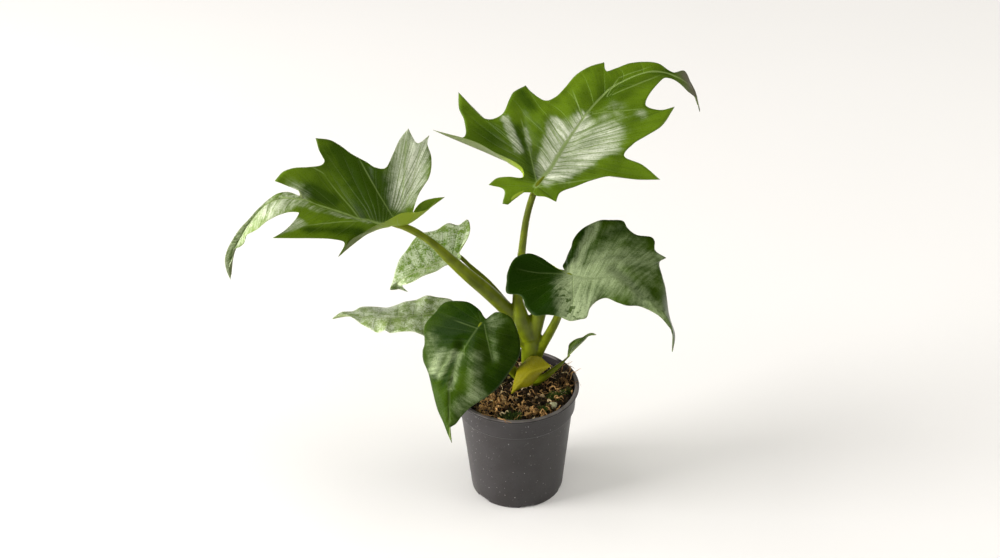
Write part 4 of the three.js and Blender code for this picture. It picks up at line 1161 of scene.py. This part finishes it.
def make_stone(material):
    """The pale chip: a ball whose radii differ, pressed flat here and there by planes."""
    polar = np.linspace(0, np.pi, STONE_ROWS)[:, None]
    cosine, sine = circle(STONE_SIDES)
    way = np.dstack([np.sin(polar) * cosine, np.sin(polar) * sine, np.cos(polar) + 0 * cosine])
    planes = unit(RANDOM.normal(size=(STONE_PLANES, 3)))
    depth = RANDOM.uniform(0.8, 0.95, STONE_PLANES)
    radius = np.minimum(1, (depth / np.maximum(way @ planes.T, 1e-3)).min(axis=2))
    radius = radius * (1 + 0.03 * lumps(way[..., 0] * 9, way[..., 1] * 9 + way[..., 2] * 5, 2))
    x, y, z = np.moveaxis(way * radius[..., None] * STONE_SIZE, -1, 0)
    cos, sin = math.cos(STONE_TURN), math.sin(STONE_TURN)
    placed = np.dstack([x * cos - y * sin, x * sin + y * cos, z]) + STONE_AT
    spots = np.vstack([placed[1:-1].reshape(-1, 3), placed[0, 0], placed[-1, 0]])
    faces = face_lists(ring_faces(STONE_ROWS - 2, STONE_SIDES, inward=True))
    stone = new_piece("pale_chip", spots, faces, material)
    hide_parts("stone")


# Materials


class Value:
    """A value in a material's node tree. Arithmetic on it adds Math nodes to the tree."""

    def __init__(self, tree, socket):
        self.tree = tree
        self.socket = socket

    def __add__(self, other):
        return node(self.tree, "Math", self, other, operation="ADD")

    def __sub__(self, other):
        return node(self.tree, "Math", self, other, operation="SUBTRACT")

    def __rsub__(self, other):
        return node(self.tree, "Math", other, self, operation="SUBTRACT")

    def __mul__(self, other):
        return node(self.tree, "Math", self, other, operation="MULTIPLY")

    def __truediv__(self, other):
        return node(self.tree, "Math", self, other, operation="DIVIDE")

    def __abs__(self):
        return node(self.tree, "Math", self, operation="ABSOLUTE")


def give(wire, socket):
    """Feeds a node's input from a value, or sets it. None leaves it alone."""
    if isinstance(wire, Value):
        wire.tree.links.new(wire.socket, socket)
    elif wire is not None:
        socket.default_value = (*wire, 1) if socket.type == "RGBA" else wire


def node(tree, kind, *wires, output=0, **settings):
    """One output of a new shader node whose inputs are given in order."""
    made = tree.nodes.new("ShaderNode" + kind)
    for name, value in settings.items():
        setattr(made, name, value)
    for wire, socket in zip(wires, made.inputs):
        give(wire, socket)
    return Value(tree, made.outputs[output])


def clamped(value):
    """A value held between 0 and 1."""
    return node(value.tree, "Clamp", value)


def blend(share, low, high):
    """A colour between two colours by a share."""
    other_kinds = (None,) * 5
    return node(share.tree, "Mix", share, *other_kinds, low, high, output=2, data_type="RGBA")


def ramp(value, low, high, to_low=0.0, to_high=1.0, kind="SMOOTHSTEP"):
    """A value eased from one range onto another and held at its ends."""
    wires = (value, low, high, to_low, to_high)
    return node(value.tree, "MapRange", *wires, interpolation_type=kind)


def attribute(tree, name):
    """A value carried on the points of a mesh."""
    return node(tree, "Attribute", attribute_name=name, output=2)


def place(tree):
    """The point's own place on the object, in metres."""
    return node(tree, "TexCoord", output=3)


def noise(where, size_mm, detail, roughness=0.5, output=0):
    """Cloudy noise from 0 to 1 with features about size_mm across."""
    scale = 1 / (size_mm * MM)
    return node(where.tree, "TexNoise", where, None, scale, detail, roughness, output=output)


def bump(height, distance_mm, strength):
    """A normal from a height from 0 to 1 that stands for distance_mm."""
    made = height.tree.nodes.new("ShaderNodeBump")
    for name, wire in (("Strength", strength), ("Distance", distance_mm * MM), ("Height", height)):
        give(wire, made.inputs[name])
    return Value(height.tree, made.outputs[0])


def fresh_material(name):
    """An empty node material, and the place on the object in it."""
    material = bpy.data.materials.new(name)
    material.use_nodes = True
    material.node_tree.nodes.clear()
    return material, place(material.node_tree)


def principled(material, colour, roughness, **more):
    """Wires a Principled shader into a material. More inputs are given by their names."""
    tree = material.node_tree
    out = tree.nodes.new("ShaderNodeOutputMaterial")
    shader = tree.nodes.new("ShaderNodeBsdfPrincipled")
    for name, wire in {"Base Color": colour, "Roughness": roughness, **more}.items():
        give(wire, shader.inputs[name.replace("_", " ")])
    tree.links.new(shader.outputs[0], out.inputs[0])
    return material


MARKINGS = ("Vein", "Fine", "Mottle", "Grain", "Rim", "Streak", "Branch", "Net", "Spot")
VEIN_WANDER = 0.14
FINE_VEINS = 6
NET_CELL_MM = 8
NET_BEND_MM = 6
NET_BEND_SIZE_MM = 11
NOISE_MIDDLE = 0.5


def marking_group():
    """A group of leaf markings: side veins, the fine veins between them, cloudy mottling, fine
    grain, the blade's rim, streaks that run beside the side veins, the strong branches of the
    midrib, the net of the finest veins, and loose spots, each from 0 to 1."""
    tree = bpy.data.node_groups.new("leaf markings", "ShaderNodeTree")
    for name in MARKINGS:
        tree.interface.new_socket(name, in_out="OUTPUT", socket_type="NodeSocketFloat")
    where = place(tree)
    veins, gap, out, side, near = (
        attribute(tree, name) for name in ("veins", "gap", "out", "branch", "near")
    )
    phase = veins + (noise(where, 30, 2) - NOISE_MIDDLE) * VEIN_WANDER

    def from_vein(times):
        """How far a point is from the nearest of this many veins to each side vein, in mm."""
        cycle = node(tree, "Math", phase * float(times) + 0.5, operation="FRACT")
        return abs(cycle - 0.5) * (gap / float(times))

    vein = ramp(from_vein(1) / ramp(out, 0.0, 1.0, 0.75, 0.28), 0.5, 1.4, 1.0, 0.0)
    fine = ramp(from_vein(FINE_VEINS), 0.1, 0.55, 1.0, 0.0) * ramp(gap, 2.0, 7.0)
    beside_veins = node(tree, "CombineXYZ", veins * 5.0, out * 1.6, 0.0)
    cells = node(tree, "TexVoronoi", bent(where), None, 1 / (NET_CELL_MM * MM),
                 feature="DISTANCE_TO_EDGE")
    made = (
        vein * ramp(out, 1.0, 0.72, 0.25, 1.0),
        fine * ramp(noise(where, 12, 2), 0.42, 0.62),
        noise(where, 9, 4, 0.6),
        noise(where, 1.3, 3, 0.6),
        ramp(out, 0.975, 0.995),
        node(tree, "TexNoise", beside_veins, None, 1.0, 4.0, 0.65),
        ramp(abs(side), 0.3, 1.0, 1.0, 0.0) * near,
        ramp(cells, 0.02, 0.11, 1.0, 0.0),
        ramp(noise(where, 4.2, 2), 0.54, 0.60),
    )
    ends = tree.nodes.new("NodeGroupOutput")
    for value, socket in zip(made, ends.inputs):
        give(value, socket)
    return tree


def bent(where):
    """Places pushed softly to and fro, so that a pattern on them has no straight lines."""
    tree = where.tree
    cloud = noise(where, NET_BEND_SIZE_MM, 2.0, output=1)
    push = node(tree, "VectorMath", cloud, (NOISE_MIDDLE,) * 3, operation="SUBTRACT")
    push = node(tree, "VectorMath", push, (NET_BEND_MM * MM,) * 3, operation="MULTIPLY")
    return node(tree, "VectorMath", where, push, operation="ADD")


def specks_group():
    """A group that lays specks over a colour: as fine cloudy noise passes from Low to High,
    the speck's colour covers the other one, by up to Amount."""
    tree = bpy.data.node_groups.new("specks", "ShaderNodeTree")
    for name in ("Colour", "Speck", "Per metre", "Low", "High", "Amount"):
        kind = "Color" if name in ("Colour", "Speck") else "Float"
        tree.interface.new_socket(name, in_out="INPUT", socket_type="NodeSocket" + kind)
    tree.interface.new_socket("Colour", in_out="OUTPUT", socket_type="NodeSocketColor")
    given = tree.nodes.new("NodeGroupInput").outputs
    colour, speck, per_metre, low, high, amount = (Value(tree, given[i]) for i in range(6))
    cloud = node(tree, "TexNoise", place(tree), None, per_metre, 2.0, 0.5)
    ends = tree.nodes.new("NodeGroupOutput")
    give(blend(ramp(cloud, low, high, 0.0, amount), colour, speck), ends.inputs[0])


def specked(colour, speck, size_mm, low, high, amount):
    """A colour with specks of another colour laid over it by the group of specks."""
    wires = (colour, speck, 1 / (size_mm * MM), low, high, amount)
    return node(colour.tree, "Group", *wires, node_tree=bpy.data.node_groups["specks"])


# In each look, sheen is the colour of the painted glare.
LEAF_LOOKS = {
    "leaf_bright": {
        "deep": (0.030, 0.064, 0.001), "fresh": (0.112, 0.190, 0.005), "vein": (0.26, 0.36, 0.10),
        "under": (0.125, 0.155, 0.055), "painted_glare": (0.68, 0.72, 0.55), "bloom": 0.0, "pale": 0.09,
        "branch": 0.4, "even": 0.1, "rib": 0.7, "broad": 2.8, "shine": 0.3,
        "mark": 0.65, "net": 0.15,
    },
    "leaf_deep": {
        "deep": (0.008, 0.024, 0.0003), "fresh": (0.034, 0.066, 0.002), "vein": (0.15, 0.21, 0.07),
        "under": (0.13, 0.18, 0.05), "painted_glare": (0.27, 0.33, 0.17), "bloom": 0.0, "pale": 0.05,
        "branch": 0.28, "even": 0.45, "rib": 0.2, "broad": 1.0, "shine": 0.13,
        "mark": 0.12, "net": 0.0,
    },
    # The silvery look's pale greens and bloom flecks are partly a waxy bloom and partly painted
    # glare over the whole upper side.
    "leaf_silvery": {
        "deep": (0.11, 0.20, 0.015), "fresh": (0.22, 0.29, 0.085), "vein": (0.40, 0.46, 0.25),
        "under": (0.22, 0.27, 0.11), "painted_glare": (0.56, 0.62, 0.44), "bloom": 0.9, "pale": 0.15,
        "branch": 0.4, "even": 0.5, "rib": 0.6, "broad": 1.0, "shine": 0.3,
        "mark": 0.4, "net": 0.1,
    },
    "leaf_yellow": {
        "deep": (0.10, 0.095, 0.002), "fresh": (0.20, 0.18, 0.005), "vein": (0.27, 0.25, 0.02),
        "under": (0.26, 0.24, 0.03), "painted_glare": (0.5, 0.5, 0.3), "bloom": 0.0, "pale": 0.1,
        "branch": 0.4, "even": 0.5, "rib": 0.4, "broad": 1.0, "shine": 0.25,
        "mark": 0.12, "net": 0.0,
    },
}
# Painted light shining through the blade: the underside's yellow-green near the stalk.
SHINE_THROUGH_NEAR_HUB = (0.25, 0.34, 0.02)
DRY_TIP = (0.12, 0.112, 0.075)
RIM_PALE = 0.15
LEAF_IOR = 1.45


def leaf_material(name, markings):
    """A leathery leaf: green with deeper places, some in random clouds and some painted shade where
    the dark strokes lie, paler veins and midrib, painted glare that runs in streaks beside the
    veins with pale flecks of waxy bloom on the silvery look, and a paler dull underside, painted
    yellow-green near the stalk as light shining through."""
    look = LEAF_LOOKS[name]
    material, where = fresh_material(name)
    tree = where.tree
    group = tree.nodes.new("ShaderNodeGroup")
    group.node_tree = markings
    vein, fine, mottle, grain, rim, streak, branch, net, spot = (
        Value(tree, group.outputs[name]) for name in MARKINGS
    )
    hub, off, dark, painted_glare, spotted, dry, under = (
        attribute(tree, name) for name in ("hub", "off", "dark", "painted_glare", "spotted", "dry", "under")
    )
    patch, line = mottle - NOISE_MIDDLE, streak - NOISE_MIDDLE
    rib = ramp(off / ramp(hub, 0, 90, look["broad"], 1.0, kind="LINEAR"), 0.55, 1.35, 1.0, 0.0)
    shade = patch * 0.25 + noise(where, 34, 2) + line * 0.5
    # The dark strokes are painted shade: they take the green towards the look's deep colour.
    fresh = clamped(ramp(shade, 0.25, 0.75, 0.45, 1.05) - dark)
    # The painted glare of the sheen strokes is torn at its edges by the mottling and streaks.
    painted_glare = painted_glare * ramp(patch * 1.2 + painted_glare + line * 0.7, 0.0, 0.65)
    flecks = ramp(grain * 0.5 + mottle * 0.7, 0.52, 0.68)
    glare_and_bloom = (painted_glare + flecks * look["bloom"]) * ramp(streak, 0.25, 0.7, look["even"], 1.1)
    glare_and_bloom = clamped(glare_and_bloom * ramp(grain, 0.3, 0.55, 0.6, 1.05))
    veined = ((fine, 0.7 * look["mark"]), (vein, look["mark"]), (net, look["net"]))
    for cover, share in (*veined, (spot, spotted)):
        glare_and_bloom = glare_and_bloom * (1.0 - cover * share)
    green = blend(fresh, look["deep"], look["fresh"])
    green = blend(fine * (look["pale"] * 0.2), green, look["vein"])
    # Painted glare, with the silvery look's bloom flecks, pales the green.
    green = blend(glare_and_bloom, green, look["painted_glare"])
    pale_vein = vein * (1.0 - glare_and_bloom) * look["pale"]
    for share in (pale_vein, rib * look["rib"], branch * look["branch"], rim * RIM_PALE):
        green = blend(share, green, look["vein"])
    green = blend(dry, green, DRY_TIP)
    # Near the stalk the underside is painted yellow-green, as light shining through the blade.
    back = blend(ramp(hub, 15, 50), SHINE_THROUGH_NEAR_HUB, look["under"])
    for share in (fine * 0.2, vein * 0.7):
        back = blend(share, back, look["vein"])
    rough = under * 0.2 + ramp(grain, 0.3, 0.7, 0.25, 0.36)
    height = fine * -0.2 + grain * 0.3 + vein * (-1.1 * look["mark"]) + branch * -0.8
    return principled(material, blend(under, green, back), rough, Normal=bump(height, 0.4, 0.6),
                      IOR=LEAF_IOR, Specular_IOR_Level=look["shine"])


# Colours are red, green and blue from 0 to 1. Specks are a colour, their size in mm, the
# range of the noise over which they appear, and how much they cover.
STALK_DEEP = (0.092, 0.118, 0.002)
STALK_FRESH = (0.145, 0.180, 0.004)
STALK_STREAK = (0.045, 0.060, 0.002)
STALK_SPECKS = ((0.08, 0.075, 0.012), 1.1, 0.68, 0.8, 0.3)
POT_DEEP = (0.021, 0.0178, 0.0172)
POT_GREY = (0.031, 0.028, 0.028)
# The third grey is a painted highlight on the top of the lip.
POT_LIP_HIGHLIGHT = (0.20, 0.18, 0.175)
POT_SPECKS = (
    ((0.42, 0.40, 0.39), 1.9, 0.71, 0.735, 0.7),
    ((0.006, 0.005, 0.005), 2.2, 0.31, 0.285, 0.9),
    ((0.12, 0.11, 0.11), 0.6, 0.6, 0.75, 0.25),
)
# The lip's painted highlight grows from this far below the top to full this far below it.
LIP_HIGHLIGHT_DEPTH = 0.9
LIP_HIGHLIGHT_EDGE = 0.2
# The peat's near black also stands for painted shade in the hollows of the mix.
PEAT_DEEP = (0.005, 0.0035, 0.0022)
PEAT_BROWN = (0.032, 0.018, 0.009)
PEAT_SPECKS = ((0.26, 0.16, 0.07), 0.9, 0.6, 0.72, 0.7)
CHIP_DULL = (0.30, 0.28, 0.155)
CHIP_PALE = (0.52, 0.50, 0.32)
CHIP_SPECKS = ((0.2, 0.16, 0.12), 0.5, 0.6, 0.72, 0.5)
FLOOR_LOW = (0.88, 0.865, 0.84)
FLOOR_HIGH = (0.90, 0.885, 0.86)
# What lies on the mix: its maker, and its material's name, dark, light and odd colours.
LOOSE_MATTER = (
    (make_strands, "coir", (0.042, 0.022, 0.009), (0.54, 0.31, 0.115), (0.72, 0.57, 0.32)),
    (make_crumbs, "bark", (0.012, 0.007, 0.004), (0.07, 0.036, 0.016), (0.40, 0.28, 0.15)),
    (make_moss, "moss", (0.016, 0.038, 0.005), (0.060, 0.100, 0.014), (0.16, 0.18, 0.035)),
)


def stem_material():
    """Green stalks with dark lengthwise streaks and specks, paler and yellower in clouds."""
    material, where = fresh_material("stem")
    tree = where.tree
    turn, share, stalk = (attribute(tree, name) for name in ("turn", "share", "stalk"))
    along_stalk = node(tree, "CombineXYZ", turn * 2.2, share * 5.0, stalk)
    lines = node(tree, "TexNoise", along_stalk, None, 1.6, 3.0, 0.6)
    cloud = ramp(noise(where, 14, 3), 0.35, 0.65)
    green = blend(cloud, STALK_DEEP, STALK_FRESH)
    green = blend(ramp(lines, 0.5, 0.72, 0.0, 0.08), green, STALK_STREAK)
    green = specked(green, *STALK_SPECKS)
    relief = bump(lines * 0.7 + noise(where, 1.1, 2), 0.3, 0.4)
    return principled(material, green, 0.36, Normal=relief, IOR=LEAF_IOR, Specular_IOR_Level=0.3)


def pot_material():
    """Grey recycled plastic: faint clouds, fine pale and dark specks, and a painted highlight that
    lies in pale patches over the top of the lip."""
    material, where = fresh_material("pot")
    cloud = noise(where, 26, 4)
    grey = blend(ramp(cloud, 0.3, 0.7), POT_DEEP, POT_GREY)
    for specks in POT_SPECKS:
        grey = specked(grey, *specks)
    height = node(where.tree, "SeparateXYZ", where, output=2)
    # A painted highlight in pale patches over the top of the lip.
    highlight_from, highlight_to = (POT_HEIGHT - LIP_HIGHLIGHT_DEPTH) * MM, (POT_HEIGHT - LIP_HIGHLIGHT_EDGE) * MM
    lip_highlight = ramp(height, highlight_from, highlight_to) * ramp(cloud, 0.3, 0.6) * 0.8
    grey = blend(lip_highlight, grey, POT_LIP_HIGHLIGHT)
    relief = bump(noise(where, 0.6, 2), 0.06, 0.4)
    return principled(material, grey, ramp(cloud, 0.3, 0.7, 0.36, 0.46), Normal=relief,
                      Specular_IOR_Level=0.36)


def mix_material():
    """Damp peat: brown on its crumbs, with tan flecks, and near black in the hollows of its bump,
    partly the peat's own colour and partly painted shade.
    """
    material, where = fresh_material("potting mix")
    coarse, fine = noise(where, 5, 5, 0.65), noise(where, 0.9, 3)
    brown = specked(blend(ramp(coarse, 0.35, 0.7), PEAT_DEEP, PEAT_BROWN), *PEAT_SPECKS)
    return principled(material, brown, 0.85, Normal=bump(coarse * 1.4 + fine, 1.2, 0.8))


def toned_material(name, dark, light, odd):
    """Matter in many small pieces: each piece's own tone picks a colour between three."""
    material, where = fresh_material(name)
    tone, grain = attribute(where.tree, "tone"), noise(where, 1.2, 3)
    mixed = (grain - NOISE_MIDDLE) * 0.5 + tone
    colour = blend(ramp(mixed, 0.1, 0.75), dark, light)
    colour = blend(ramp(tone, 0.82, 0.9), colour, odd)
    return principled(material, colour, 0.75, Normal=bump(grain, 0.3, 0.6))


def stone_material():
    """A pale chip of stone with faint clouds and grains."""
    material, where = fresh_material("stone")
    cloud, grain = noise(where, 3.5, 4), noise(where, 0.5, 2)
    pale = specked(blend(ramp(cloud, 0.35, 0.65), CHIP_DULL, CHIP_PALE), *CHIP_SPECKS)
    return principled(material, pale, 0.6, Normal=bump(grain, 0.2, 0.6))


# Stage

FLOOR_HALF_M = 8.0
LIGHT_AIM = Vector((0.0, 0.0, 0.15))
SURROUND = (0.95, 0.94, 0.92)
SURROUND_STRENGTH = 0.5
LENS_MM = 57.6
SENSOR_MM = 36
CAMERA_NEAR_M = 0.05
CAMERA_AT = (-0.0137, -1.2383, 1.0073)
CAMERA_RISE_DEG = 58.01
CAMERA_ROLL_DEG = -0.96

# Soft square lights: name, place and size in metres, watts, colour, shown in glossy surfaces.
LIGHTS = (
    ("window", (-3.9, 0.15, 3.75), 4.2, 120, (1.0, 0.99, 0.965), True),
    ("low_window", (-2.3, -0.45, 0.35), 1.1, 125, (1.0, 0.98, 0.985), False),
    ("fill", (2.2, -0.2, 2.6), 2.4, 46, (1.0, 0.98, 0.95), False),
)


def make_floor():
    """A wide pale plane under the pot."""
    material, where = fresh_material("floor")
    principled(material, blend(noise(where, 400, 2), FLOOR_LOW, FLOOR_HIGH), 0.9)
    half = FLOOR_HALF_M / MM
    corners = [(-half, -half, 0), (half, -half, 0), (half, half, 0), (-half, half, 0)]
    floor = mesh_object("floor", corners, [(0, 1, 2, 3)])
    floor.data.materials.append(material)


def make_light(name, place_m, size_m, watts, colour, glossy):
    """A soft square light that faces the plant."""
    lamp = bpy.data.lights.new(name, "AREA")
    lamp.size = size_m
    lamp.energy = watts
    lamp.color = colour
    light = linked(name, lamp)
    light.location = place_m
    way = LIGHT_AIM - Vector(place_m)
    light.rotation_euler = way.to_track_quat("-Z", "Y").to_euler()
    light.visible_glossy = glossy


def make_world():
    """An even warm white surround that lights dull surfaces and doesn't show in glossy ones."""
    world = bpy.data.worlds.new("surround")
    world.use_nodes = True
    inputs = world.node_tree.nodes["Background"].inputs
    inputs[0].default_value = (*SURROUND, 1)
    inputs[1].default_value = SURROUND_STRENGTH
    world.cycles_visibility.glossy = False
    bpy.context.scene.world = world


def make_camera():
    """A camera in front of and above the plant that looks down at it by 32 degrees."""
    data = bpy.data.cameras.new("camera")
    data.lens = LENS_MM
    data.sensor_width = SENSOR_MM
    data.clip_start = CAMERA_NEAR_M
    camera = linked("camera", data)
    camera.matrix_world = (
        Matrix.Translation(CAMERA_AT)
        @ Matrix.Rotation(math.radians(CAMERA_RISE_DEG), 4, "X")
        @ Matrix.Rotation(math.radians(CAMERA_ROLL_DEG), 4, "Z")
    )
    bpy.context.scene.camera = camera


def make_plant():
    """Every piece of the plant and its pot."""
    markings = marking_group()
    specks_group()
    looks = {name: leaf_material(name, markings) for name in LEAF_LOOKS}
    for name, leaf in LEAVES.items():
        make_blade(name, leaf, looks[leaf["slot"]])
    make_stem(stem_material())
    make_pot(pot_material())
    make_soil(mix_material())
    make_stone(stone_material())
    for make, *look in LOOSE_MATTER:
        make(toned_material(*look))


def main():
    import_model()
    make_plant()
    make_floor()
    make_world()
    for light in LIGHTS:
        make_light(*light)
    make_camera()
    bpy.context.scene.view_settings.view_transform = "Standard"


main()
